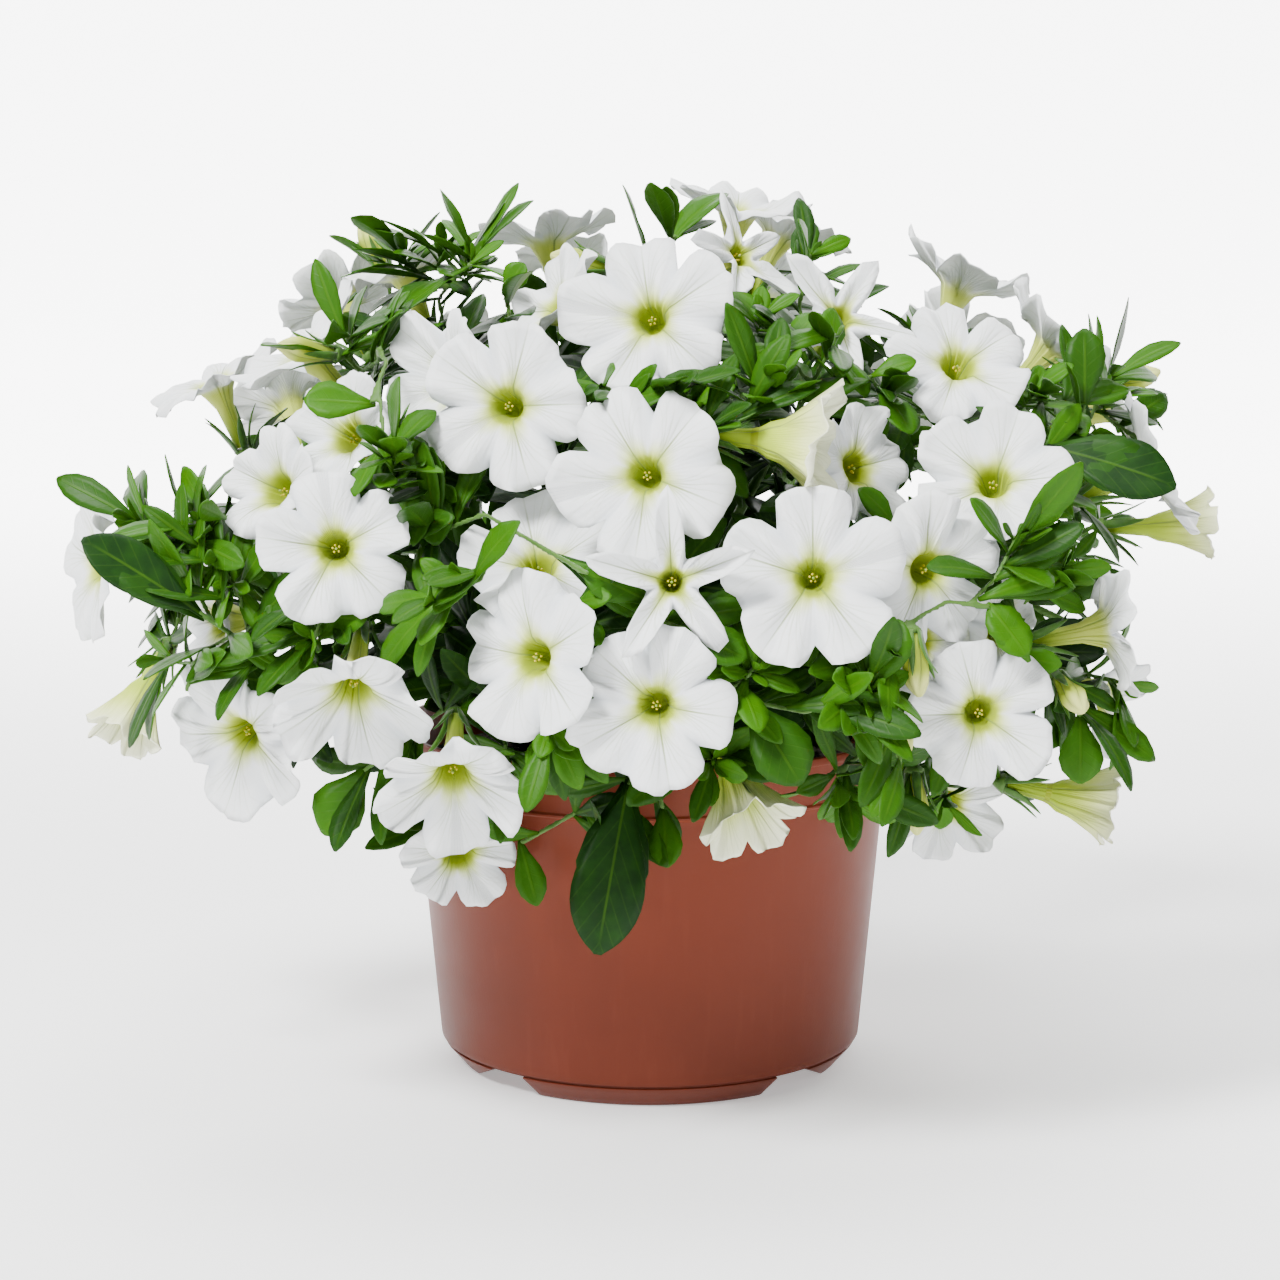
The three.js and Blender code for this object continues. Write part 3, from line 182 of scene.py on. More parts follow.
ROSETTE_LEAVES = 10
SHOOT_GAP = 5
TWIG_REACH = 3.6
TWIG_FOOT = 60
TWIG_VOXEL = 0.55
LEAF_TRIES = 5
LEAF_THICK = 0.4
FEWEST_LEAVES = 100
# Leaves along the twigs: their lean in degrees and their bend.
TWIG_LEAN = (30, 75)
TWIG_BEND = (0.15, 0.9)
# Their lengths, and their widths as a share of that, at the crown's skin and deep inside it.
SKIN_LEAVES = ((14, 23), (0.24, 0.36))
DEEP_LEAVES = ((18, 27), (0.32, 0.42))

# Radius and height of the pot's skin, from the underside of its floor up, over the rim and down.
POT_PROFILE = (
    (37.9, 4.5), (38.3, 0.9), (39.0, 0.0), (44.6, 0.0), (45.4, 0.4), (46.5, 1.7), (48.4, 3.8),
    (49.3, 4.8), (49.4, 5.0), (48.9, 5.2), (48.9, 5.7), (49.9, 5.9), (50.15, 6.3), (50.3, 7.6),
    (55.7, 66.6), (55.9, 68.4), (57.0, 68.5), (57.45, 68.9), (57.5, 69.3), (57.2, 69.8),
    (57.2, 70.4), (59.0, 78.6), (59.1, 78.9), (59.8, 79.1), (60.0, 79.5), (60.0, 80.7),
    (59.7, 81.0), (59.0, 81.0), (58.7, 80.7), (54.6, 69.8), (54.4, 68.6), (48.8, 7.4), (48.0, 6.4),
)
FLOOR_UNDERSIDE = 4.5
FLOOR_TOP = 6.4
# Four gaps between the feet: their ends in degrees round the pot, at the ground and at the crease.
GAP_BOTTOM = (34, 65.5)
GAP_TOP = (36.5, 47.5)
GAP_MIDDLE = 45
FOOT_RADIUS = 45.5
CREASE_RADIUS = 50
GAP_REACH = (27.0, 56.0)
GAP_HEIGHTS = (-0.6, 5.2)
DRAIN_HOLES = 4
DRAIN_CIRCLE = 29
DRAIN_RADIUS = 4
DRAIN_DEPTH = 8
DRAIN_MIDDLE = 5.4
POT_EDGE = 0.15
POT_EDGE_ANGLE = math.radians(50)
POT_SMOOTH_ANGLE = math.radians(28)

SOIL_WALL = ((0.0, 7.0), (47.9, 7.0), (54.0, 68.0), (54.6, 71.0))
SOIL_FLOOR = 7
SOIL_RADIUS = 54.6
SOIL_EDGE = 72
SOIL_RISE = 2
SOIL_SLOPE = 24
SOIL_RING = 2.4
SOIL_RINGS = 23
SOIL_COLUMNS = 120
CRUMBS = 520
CRUMB_REACH = 53.2

# The stage, in metres.
FLOOR_SIZE = 8
WALL_HEIGHT = 4
COVE = 1.6
LIGHT_AIM = Vector((0, 0, 0.1))
LIGHTS = (
    ("key", (-0.8, -1.1, 1.5), (0.5, 0.5), 92),
    ("fill", (1.3, -1.1, 0.7), (1.0, 1.2), 8),
    ("top", (0.1, 0.1, 1.9), (1.0, 1.0), 35),
)
WORLD_LIGHT = 0.18
FLOOR_GLOW = 0.45
WALL_GLOW = 5.5
WALL_GLOW_FROM = (0.1, 1.4)
CAMERA_AIM = 0.098
LENS = 88.25
SENSOR = 36
PICTURE_SIDE = 1280
PICTURE_SHIFT = 10

# ---- colours

VEIN_COLOR = (0.2, 0.27, 0.05)
TUBE_FOOT_COLOR = (0.25, 0.38, 0.01)
PETAL_SHADE = (0.6, 0.645, 0.68)
LEAF_MOTTLE = (0.016, 0.07, 0.002)
LEAF_VEIN = (0.06, 0.15, 0.006)
LEAF_UNDERSIDE = (0.03, 0.1, 0.004)
POT_CLOUD = (0.2, 0.04, 0.016)
POT_SCUFF = (0.26, 0.06, 0.03)


# ---- settings


def color_setting(name, description, default):
    return bpy.props.FloatVectorProperty(
        name=name, description=description, subtype="COLOR", size=3, default=default, min=0, max=1
    )


def length_setting(name, description, default):
    return bpy.props.FloatProperty(
        name=name, description=description, default=default, subtype="DISTANCE", unit="LENGTH"
    )


class PotSettings(bpy.types.PropertyGroup):
    sides: bpy.props.IntProperty(
        name="Sides", description="Facets round the pot", default=144, min=48
    )
    upper_color: color_setting("Upper colour", "Plastic near the rim", (0.16, 0.027, 0.0092))
    # The lower colour is painted shade: the plastic darkens from the rim down to the feet.
    shaded_lower_color: color_setting("Lower colour", "Plastic near the feet", (0.105, 0.018, 0.0068))


class SoilSettings(bpy.types.PropertyGroup):
    crumb: length_setting("Crumb", "Size of the largest crumbs", 2.4 * MM)
    color: color_setting("Colour", "Damp peat", (0.018, 0.012, 0.008))


class FoliageSettings(bpy.types.PropertyGroup):
    blade: length_setting("Blade", "Thickness of a leaf blade", 0.42 * MM)
    leaf_gap: length_setting("Leaf gap", "Room between leaves along a twig", 5.5 * MM)
    young_color: color_setting("Young leaf", "Leaves near the tips", (0.034, 0.13, 0.0005))
    # The old colour also serves as painted shade for leaves deep in the crown.
    old_color: color_setting("Old leaf", "Full-grown leaves", (0.0045, 0.024, 0.0025))
    stem_color: color_setting("Stem", "Stems and stalks", (0.04, 0.12, 0.004))


class BloomSettings(bpy.types.PropertyGroup):
    petal: length_setting("Petal", "Thickness of a petal", 0.3 * MM)
    petal_color: color_setting("Petal colour", "White of the petals", (0.86, 0.875, 0.87))
    throat_color: color_setting("Throat colour", "Yellow of the throat", (0.3, 0.38, 0.004))


class StageSettings(bpy.types.PropertyGroup):
    distance: length_setting("Distance", "From the camera to the plant", 0.744)
    elevation: bpy.props.FloatProperty(
        name="Elevation", description="How far the camera looks down",
        default=math.radians(9), subtype="ANGLE", unit="ROTATION",
    )


def settings(name):
    return getattr(bpy.context.scene, name)


# ---- materials


class Nodes:
    """A material's node tree, with short calls for the nodes that it uses."""

    def __init__(self, name):
        self.material = bpy.data.materials.new(name)
        self.material.use_nodes = True
        self.tree = self.material.node_tree
        self.shader = self.tree.nodes["Principled BSDF"]

    def new(self, kind, inputs=None, **options):
        node = self.tree.nodes.new(kind)
        for key, value in options.items():
            setattr(node, key, value)
        for key, value in (inputs or {}).items():
            if isinstance(value, bpy.types.NodeSocket):
                self.tree.links.new(value, node.inputs[key])
            else:
                node.inputs[key].default_value = value
        return node

    def math(self, operation, *values):
        return self.new("ShaderNodeMath", dict(enumerate(values)), operation=operation).outputs[0]

    def plus(self, first, second):
        return self.math("ADD", first, second)

    def minus(self, first, second):
        return self.math("SUBTRACT", first, second)

    def times(self, first, second):
        return self.math("MULTIPLY", first, second)

    def larger(self, first, second):
        return self.math("MAXIMUM", first, second)

    def absolute(self, value):
        return self.math("ABSOLUTE", value)

    def step(self, value, low, high):
        """0 below low and 1 above high, with a smooth rise between them."""
        node = self.new(
            "ShaderNodeMapRange",
            {"Value": value, "From Min": low, "From Max": high},
            interpolation_type="SMOOTHSTEP",
        )
        return node.outputs["Result"]

    def fall(self, value, low, high):
        """1 below low and 0 above high, with a smooth fall between them."""
        return self.minus(1.0, self.step(value, low, high))

    def mix(self, share, first, second):
        node = self.new("ShaderNodeMix", data_type="RGBA")
        for index, value in ((0, share), (6, first), (7, second)):
            if isinstance(value, bpy.types.NodeSocket):
                self.tree.links.new(value, node.inputs[index])
            elif index == 0:
                node.inputs[0].default_value = value
            else:
                node.inputs[index].default_value = (*value, 1)
        return node.outputs[2]

    def place(self):
        return self.new("ShaderNodeTexCoord").outputs["Object"]

    def lengthways(self):
        """The piece's own map: across or round it, and along it."""
        uv = self.new("ShaderNodeUVMap", uv_map="lengthways")
        return self.new("ShaderNodeSeparateXYZ", {0: uv.outputs[0]}).outputs[:2]

    def attribute(self, name):
        return self.new("ShaderNodeAttribute", attribute_name=name).outputs["Fac"]

    def noise(self, scale, detail=3, vector=None):
        inputs = {"Scale": scale, "Detail": detail, "Vector": vector or self.place()}
        return self.new("ShaderNodeTexNoise", inputs).outputs["Fac"]

    def bump(self, height, strength, distance):
        node = self.new(
            "ShaderNodeBump", {"Height": height, "Strength": strength, "Distance": distance}
        )
        self.link(node.outputs["Normal"], "Normal")

    def link(self, output, socket):
        self.tree.links.new(output, self.shader.inputs[socket])

    def set(self, **values):
        for key, value in values.items():
            self.shader.inputs[key.replace("_", " ")].default_value = value


def petal_material(name, petal, throat, halo, tone_and_shade, outside, glow_reach=0.46):
    """Petals with one fine vein along each lobe, finer ones beside it, a yellow throat, and painted shade
    greying them towards the clefts between the lobes.
    """
    m = Nodes(name)
    turn, reach = m.lengthways()
    aside = m.absolute(m.minus(m.math("FRACT", m.times(turn, float(LOBES))), 0.5))
    radius = m.plus(m.times(m.larger(reach, 0.0), float(FULL_RADIUS)), 3.0)
    waver = m.times(m.minus(m.noise(160.0, 2), 0.5), 0.05)
    veins = m.fall(m.times(aside, radius), 0.03, 0.24)
    for slant, strength in ((0.13, 0.36), (0.24, 0.42), (0.37, 0.32), (0.47, 0.24)):
        bend = m.times(m.math("POWER", m.larger(reach, 0.001), 0.75), slant)
        off = m.absolute(m.minus(m.plus(aside, waver), bend))
        side_vein = m.fall(m.times(off, radius), 0.02, 0.2)
        veins = m.larger(veins, m.times(side_vein, strength))
    veins = m.times(veins, m.plus(m.times(m.fall(reach, 0.2, 1.0), 0.8), 0.2))
    base = m.mix(m.times(m.noise(260.0), 0.4), petal, tone_and_shade)
    # Painted shade: the petal turns grey towards the clefts between the lobes, more so towards the rim.
    cleft_shade = m.times(m.step(aside, 0.34, 0.5), m.step(reach, 0.25, 0.9))
    base = m.mix(m.times(cleft_shade, 0.6), base, tone_and_shade)
    near = m.math("DIVIDE", reach, m.minus(glow_reach, m.times(aside, 0.36)))
    base = m.mix(m.times(m.fall(near, -0.1, 1.0), 0.95), base, halo)
    base = m.mix(m.fall(near, -0.3, 0.5), base, throat)
    base = m.mix(m.times(veins, 0.85), base, VEIN_COLOR)
    if outside:
        base = m.mix(m.fall(reach, -1.0, -0.3), base, TUBE_FOOT_COLOR)
    m.link(base, "Base Color")
    m.set(
        Roughness=0.6, Subsurface_Weight=0.1, Subsurface_Scale=0.001, Sheen_Weight=0.1,
        Subsurface_Radius=(1.0, 1.0, 0.9), Specular_IOR_Level=0.25,
    )
    stripes = m.math("SINE", m.times(turn, 420.0))
    relief = m.plus(m.times(stripes, 0.15), m.times(veins, -1.2))
    m.bump(m.plus(relief, m.times(m.noise(700.0), 0.7)), 0.5, 0.25 * MM)
    return m.material


def leaf_material(young, old):
    """Leaf blades: paler with youth, darker with age and with painted shade deep in the crown, with a
    light midrib, faint side veins and a satin gloss.
    """
    m = Nodes("leaf blade")
    across, along = m.lengthways()
    aside = m.absolute(across)
    # The attribute darkens leaves with age and, deep in the crown, as painted shade.
    base = m.mix(m.attribute("age"), young, old)
    mottle = m.step(m.noise(240.0, 4), 0.35, 0.75)
    base = m.mix(m.times(mottle, 0.3), base, LEAF_MOTTLE)
    rib = m.times(m.fall(aside, 0.12, 0.42), m.fall(along, 0.7, 1.0))
    slanted = m.minus(m.times(along, 7.0), m.times(aside, 0.34))
    ladder = m.absolute(m.minus(m.math("FRACT", slanted), 0.5))
    veins = m.larger(m.times(rib, 0.75), m.times(m.fall(ladder, 0.02, 0.09), 0.2))
    base = m.mix(m.times(veins, 0.45), base, LEAF_VEIN)
    base = m.mix(m.times(m.attribute("underside"), 0.5), base, LEAF_UNDERSIDE)
    m.link(base, "Base Color")
    m.set(
        Roughness=0.45, Subsurface_Weight=0.05, Subsurface_Scale=0.0006, Specular_IOR_Level=0.13
    )
    m.bump(m.minus(m.times(m.noise(1500.0, 2), 0.4), veins), 0.4, 0.25 * MM)
    return m.material


def stem_material(name, color, light):
    """Stems, stalks and sepals: soft green, downy with fine hairs."""
    m = Nodes(name)
    m.link(m.mix(m.step(m.noise(420.0, 4), 0.3, 0.75), color, light), "Base Color")
    m.set(
        Roughness=0.6, Sheen_Weight=0.2, Sheen_Roughness=0.4, Subsurface_Weight=0.05,
        Subsurface_Scale=0.001,
    )
    m.bump(m.noise(2600.0, 2), 0.4, 0.2 * MM)
    return m.material


def plain_material(name, color, light, roughness, scale, strength):
    """A matt surface with fine uneven colour and grain."""
    m = Nodes(name)
    m.link(m.mix(m.step(m.noise(scale, 4), 0.35, 0.7), color, light), "Base Color")
    m.set(Roughness=roughness)
    m.bump(m.noise(scale * 3, 3), strength, 0.4 * MM)
    return m.material


def pot_material(upper, shaded_lower):
    """Moulded plastic: darker towards the feet as painted shade, satin, with faint scuffs and handling
    marks.
    """
    m = Nodes("moulded plastic")
    place = m.place()
    height = m.new("ShaderNodeSeparateXYZ", {0: place}).outputs[2]
    # Painted shade: darker towards the feet.
    base = m.mix(m.step(height, 0.0, 0.07), shaded_lower, upper)
    base = m.mix(m.times(m.step(m.noise(28.0, 4), 0.3, 0.8), 0.12), base, POT_CLOUD)
    upright = m.new("ShaderNodeMapping", {"Vector": place, "Scale": (1.0, 1.0, 0.12)}).outputs[0]
    scuffs = m.step(m.noise(420.0, 5, upright), 0.52, 0.78)
    m.link(m.mix(m.times(scuffs, 0.06), base, POT_SCUFF), "Base Color")
    m.link(m.plus(0.36, m.times(m.noise(60.0, 4), 0.16)), "Roughness")
    m.set(Specular_IOR_Level=0.16)
    m.bump(m.plus(m.noise(1900.0, 2), m.times(scuffs, 0.3)), 0.12, 0.15 * MM)
    return m.material


# ---- mesh tools


def deselect_all():
    if bpy.context.object and bpy.context.object.mode != "OBJECT":
        bpy.ops.object.mode_set(mode="OBJECT")
    bpy.ops.object.select_all(action="DESELECT")


def make_active(piece):
    deselect_all()
    piece.select_set(True)
    bpy.context.view_layer.objects.active = piece


def edit_all():
    """Edit mode with everything selected."""
    bpy.ops.object.mode_set(mode="EDIT")
    bpy.ops.mesh.select_all(action="SELECT")


def edit_only(piece, kind, wanted):
    """Edit mode with only the wanted corners or edges selected."""
    bpy.ops.object.mode_set(mode="EDIT")
    bpy.ops.mesh.select_all(action="DESELECT")
    bpy.ops.object.mode_set(mode="OBJECT")
    for item in piece.data.vertices if kind == "VERT" else piece.data.edges:
        item.select = wanted(item)
    bpy.ops.object.mode_set(mode="EDIT")
    bpy.ops.mesh.select_mode(type=kind)


def turn_faces_out():
    """All faces outwards, at the end of an edit."""
    bpy.ops.mesh.select_all(action="SELECT")
    bpy.ops.mesh.normals_make_consistent(inside=False)
    bpy.ops.object.mode_set(mode="OBJECT")


def extrude(height):
    bpy.ops.mesh.extrude_region_move(TRANSFORM_OT_translate={"value": (0, 0, height)})


def apply_modifier(piece, kind, **options):
    make_active(piece)
    bpy.ops.object.modifier_add(type=kind)
    modifier = piece.modifiers[-1]
    for key, value in options.items():
        setattr(modifier, key, value)
    bpy.ops.object.modifier_apply(modifier=modifier.name)


def taken_apart(piece):
    """A piece's corners and faces. The piece itself goes."""
    corners = np.array([vertex.co for vertex in piece.data.vertices])
    faces = [tuple(polygon.vertices) for polygon in piece.data.polygons]
    bpy.data.objects.remove(piece)
    return corners, faces


def moved(corners, place):
    matrix = np.array(place)
    return corners @ matrix[:3, :3].T + matrix[:3, 3]


def no_uvs(faces):
    return np.zeros((sum(len(face) for face in faces), 2))


def closed_tube(name, columns, rings):
    """A straight tube: one circle, extruded upwards ring by ring, with both ends drawn together."""
    deselect_all()
    bpy.ops.mesh.primitive_circle_add(vertices=columns, radius=1, location=(0, 0, 0))
    tube = bpy.context.object
    tube.name = name
    edit_all()
    for _ in range(rings):
        extrude(1)
    bpy.ops.mesh.merge(type="CENTER")
    edit_only(tube, "VERT", lambda vertex: abs(vertex.co.z) < 0.1)
    extrude(-1)
    bpy.ops.mesh.merge(type="CENTER")
    turn_faces_out()
    return tube


class Pattern:
    """A tube that is copied many times: its corners as column and ring, and its faces."""

    def __init__(self, name, columns, rings):
        corners, self.faces = taken_apart(closed_tube(name, columns, rings))
        turn = np.arctan2(corners[:, 1], corners[:, 0]) / (2 * math.pi)
        self.column = np.round(turn * columns).astype(int) % columns
        self.ring = np.round(corners[:, 2]).astype(int)
        self.columns = columns
        self.loops = [i for face in self.faces for i in face]

    def loop_turns(self):
        """Each face corner's share of the full turn, kept whole across the seam."""
        turns = []
        for face in self.faces:
            columns = [int(self.column[i]) for i in face]
            wraps = max(columns) - min(columns) > self.columns / 2
            turns.extend((c + self.columns if wraps and c == 0 else c) / self.columns for c in columns)
        return np.array(turns)


class Collected:
    """Faces gathered from many small shapes, to become one piece."""

    def __init__(self):
        self.corners, self.faces, self.uvs, self.slots = [], [], [], []
        self.age, self.under = [], []
        self.count = 0

    def add(self, corners, faces, uvs, slot, age=0.0, under=None):
        """slot is one index or one for each face; uvs has a row for each face corner."""
        self.corners.append(np.asarray(corners))
        self.faces.extend(tuple(i + self.count for i in face) for face in faces)
        self.uvs.append(np.asarray(uvs))
        self.slots.extend([slot] * len(faces) if isinstance(slot, int) else slot)
        self.age.append(np.full(len(corners), age))
        self.under.append(np.zeros(len(corners)) if under is None else under)
        self.count += len(corners)

    def piece(self, name, materials, smooth=True):
        mesh = bpy.data.meshes.new(name)
        mesh.from_pydata(np.concatenate(self.corners) * MM, [], self.faces)
        layer = mesh.uv_layers.new(name="lengthways")
        layer.data.foreach_set("uv", np.concatenate(self.uvs).astype(np.float32).ravel())
        mesh.polygons.foreach_set("material_index", self.slots)
        mesh.polygons.foreach_set("use_smooth", [smooth] * len(self.faces))
        for key, values in (("age", self.age), ("underside", self.under)):
            attribute = mesh.attributes.new(key, "FLOAT", "POINT")
            attribute.data.foreach_set("value", np.concatenate(values).astype(np.float32))
        for material in materials:
            mesh.materials.append(material)
        mesh.update()
        piece = bpy.data.objects.new(name, mesh)
        bpy.context.scene.collection.objects.link(piece)
        return piece


# ---- reading the solids


def nodes_named(*starts):
    return sorted(node for node in frame["nodes"] if node.startswith(starts))


def merged_node(node):
    """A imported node's mesh in millimetres, with its corners joined."""
    bm = bmesh.new()
    bm.from_mesh(frame["nodes"][node].data)
    bmesh.ops.transform(bm, matrix=Matrix.Scale(1 / MM, 4), verts=bm.verts)
    bmesh.ops.remove_doubles(bm, verts=bm.verts, dist=0.002)
    return bm


def neighbours(vertex):
    return [edge.other_vert(vertex) for edge in vertex.link_edges]


def beyond(corners, known):
    """The corners next to these that aren't known yet."""
    return {vertex for corner in corners for vertex in neighbours(corner)} - known


def centre_of(vertices):
    return sum((vertex.co for vertex in vertices), Vector()) / len(vertices)


def placed(across, axis, spot):
    """The matrix that stands a shape's own up along axis, at a spot."""
    place = Matrix((across, axis.cross(across), axis)).transposed().to_4x4()
    place.translation = spot
    return place


def rim_form(rim):
    """Open, star or trumpet, from the rim's corners as angle, reach and height."""
    reaches = [reach for _, reach, _ in rim]
    if sum(height for _, _, height in rim) / len(rim) > TRUMPET_HEIGHT:
        return "trumpet"
    return "star" if min(reaches) < STAR_CLEFT * max(reaches) else "open"


def rim_lobes(rim, depth):
    """Each lobe's corners of the rim, with the notches at both its ends, in order round it."""
    lobes = []
    for lobe in range(LOBES):
        rows = []
        for angle, reach, height in rim:
            turn = (angle - LOBE_ANGLE * lobe + 180) % 360 - 180
            if abs(turn) < HALF_LOBE + 1.5:
                rows.append((turn, reach, height - depth))
        lobes.append(sorted(rows))
    return lobes


def read_corolla(heart):
    """The corolla over a corner that may be its heart: its place, form and rim, or None."""
    ring = neighbours(heart)
    if len(ring) != LOBES or any(len(vertex.link_edges) < 5 for vertex in ring):
        return None
    centre = centre_of(ring)
    axis = centre - heart.co
    reach = [(vertex.co - centre).length for vertex in ring]
    if abs(axis.length - HEART_DEPTH) > HEART_SLACK or max(reach) - min(reach) > RING_SLACK:
        return None
    inner = {heart, *ring}
    rim_corners = beyond(ring, inner)
    under = beyond(rim_corners, inner | rim_corners)
    throat = beyond(under, inner | rim_corners | under)
    axis.normalize()
    across = ring[0].co - centre
    across = (across - axis * across.dot(axis)).normalized()
    turned = axis.cross(across)
    rim = []
    for vertex in rim_corners:
        place = vertex.co - centre
        angle = math.degrees(math.atan2(place.dot(turned), place.dot(across))) % 360
        rim.append((angle, math.hypot(place.dot(turned), place.dot(across)), place.dot(axis)))
    if len(rim) != 3 * LOBES:
        return None
    kind = rim_form(rim)
    depth = FORMS[kind]["depth"]
    return {
        "place": placed(across, axis, centre + axis * depth), "kind": kind, "depth": depth,
        "lobes": rim_lobes(rim, depth), "throat": reach[0], "radius": max(row[1] for row in rim),
        "corners": inner | rim_corners | under | throat,
    }


def find_corollas(bm):
    return [corolla for corolla in map(read_corolla, bm.verts) if corolla]


def arc_leaf(middle, forward, normal, tip, share):
    """The even arc that a leaf follows: its root, directions at the root, length and bend."""
    chord = tip - middle
    ahead, sink = chord.dot(forward), -chord.dot(normal)
    turn = 2 * math.atan2(sink, ahead)
    bend = turn / (1 - share)
    if abs(bend) < STRAIGHT:
        length = ahead / (1 - share)
        return middle - forward * (length * share), forward.copy(), normal.copy(), length, 0.0
    length = ahead * bend / math.sin(turn)
    back = bend * share
    size = length / bend
    root = middle - forward * (size * math.sin(back)) - normal * (size * (1 - math.cos(back)))
    way = forward * math.cos(back) + normal * math.sin(back)
    up = normal * math.cos(back) - forward * math.sin(back)
    return root, way, up, length, bend


def along_arc(blade, share):
    """The point at a share of a blade's arc."""
    root, way, up = blade["root"], blade["way"], blade["up"]
    length, bend = blade["length"], blade["bend"]
    if abs(bend) <= STRAIGHT:
        return root + way * (length * share)
    turn = bend * share
    return root + way * (length / bend * math.sin(turn)) - up * (length / bend * (1 - math.cos(turn)))


def read_shoulder(corners, width):
    """The second set of corners that a large leaf has near its tip, or none."""
    found = set()
    near = beyond(corners, corners)
    for first, second in itertools.combinations(near, 2):
        if abs((first.co - second.co).length * SHOULDER_WIDTH - width) < RIB_SLACK / 2:
            centre = (first.co + second.co) / 2
            ribs = [v for v in near if abs((centre - v.co).length - LEAF_RIB) < RIB_SLACK]
            if ribs:
                found |= {first, second, ribs[0]}
    return found


def read_blade(tip, ring):
    """A leaf blade from its tip and three of the corners round it, or None."""
    for rib in ring:
        right, left = (vertex for vertex in ring if vertex is not rib)
        middle = (right.co + left.co) / 2
        drop = middle - rib.co
        across = right.co - left.co
        if abs(drop.length - LEAF_RIB) > RIB_SLACK or abs(drop.dot(across.normalized())) > RIB_SLACK:
            continue
        if abs((right.co - tip.co).length - (left.co - tip.co).length) > TIP_SLACK:
            continue
        normal = drop.normalized()
        side = across.normalized()
        forward = side.cross(normal)
        if forward.dot(tip.co - middle) < 0:
            side, forward = -side, -forward
        corners = {tip, *ring}
        width, share = across.length, SMALL_WIDEST
        shoulder = read_shoulder(corners, width)
        if shoulder:
            corners |= shoulder
            width, share = width / SHOULDER_WIDTH, LARGE_SHOULDER
        root, way, up, length, bend = arc_leaf(middle, forward, normal, tip.co, share)
        if not BLADE_LENGTHS[0] < length < BLADE_LENGTHS[1] or width < NARROWEST_BLADE:
            continue
        return {
            "root": root, "way": way, "up": up, "side": side, "length": length,
            "bend": bend, "width": width, "corners": corners, "large": bool(shoulder),
        }
    return None


def find_blades(bm):
    """Every leaf blade of a stem. A tip mostly has three neighbours, more where its faces were split."""
    found = []
    for tip in bm.verts:
        near = neighbours(tip)
        if len(near) > 8 or len(near) < 3:
            continue
        for ring in itertools.combinations(near, 3):
            blade = read_blade(tip, ring)
            if blade:
                found.append(blade)
                break
    return found


def find_lost_tips(bm):
    """Sharp corners that stick far out: what is left of blades that could not be read."""
    lost = set()
    for vertex in bm.verts:
        long_edges = sum(edge.calc_length() > LOST_EDGE for edge in vertex.link_edges)
        if long_edges > 1 and sum(loop.calc_angle() for loop in vertex.link_loops) < LOST_ANGLE:
            lost.add(vertex)
    return lost


def find_sepals(bm, blades):
    """Sepal tips stand over one side of the calyx's five-sided seat."""
    taken = {vertex for blade in blades for vertex in blade["corners"]}
    found = []
    for tip in bm.verts:
        ring = neighbours(tip)
        if len(ring) != 3 or tip in taken:
            continue
        for corner in ring:
            first, second = (vertex for vertex in ring if vertex is not corner)
            if abs((first.co - second.co).length - SEAT_SIDE) < SEAT_SLACK:
                found.append({"tip": tip, "seat": (first, second), "corner": corner})
                break
    return found


def find_buds(bm):
    """Buds end in an apex over a five-sided ring of a known width and distance."""
    found = []
    for apex in bm.verts:
        ring = neighbours(apex)
        if len(ring) != LOBES:
            continue
        centre = centre_of(ring)
        axis = apex.co - centre
        reach = [(vertex.co - centre).length for vertex in ring]
        if abs(axis.length - BUD_APEX) < APEX_SLACK and abs(max(reach) - BUD_RADIUS) < BUD_SLACK:
            axis.normalize()
            across = (ring[0].co - centre).normalized()
            place = placed(across, axis, apex.co - axis * BUD_LENGTH)
            found.append({"place": place, "corners": {apex, *ring}})
    return found


# ---- corollas


def bell(offset, width):
    """1 at no offset, falling away smoothly over the width."""
    return math.exp(-((offset / width) ** 2))


def lobe_middle(turn):
    """1 at the middle of a lobe and 0 at its ends."""
    return math.cos(math.radians(turn * 2.5)) ** 2


def lobe_profile(turn, rows, kind):
    """Reach and height of the rim at a turn within one lobe, drawn smoothly through the solid's rim."""
    (_, reach_a, up_a), (low, reach_b, up_b), (high, reach_c, up_c), (_, reach_d, up_d) = rows
    if low <= turn <= high:
        share = (turn - low) / (high - low)
        bulge = 1 + (0.1 if kind == "star" else 0.05) * math.sin(share * math.pi)
        return (reach_b + (reach_c - reach_b) * share) * bulge, up_b + (up_c - up_b) * share
    near_reach, near_up, notch_reach, notch_up = reach_b, up_b, reach_a, up_a
    share = (turn + HALF_LOBE) / (low + HALF_LOBE)
    if turn > high:
        near_reach, near_up, notch_reach, notch_up = reach_c, up_c, reach_d, up_d
        share = (HALF_LOBE - turn) / (HALF_LOBE - high)
    rise = share ** 2.1 if kind == "star" else math.sin(share * math.pi / 2) ** 0.6
    return notch_reach + (near_reach - notch_reach) * rise, notch_up + (near_up - notch_up) * share


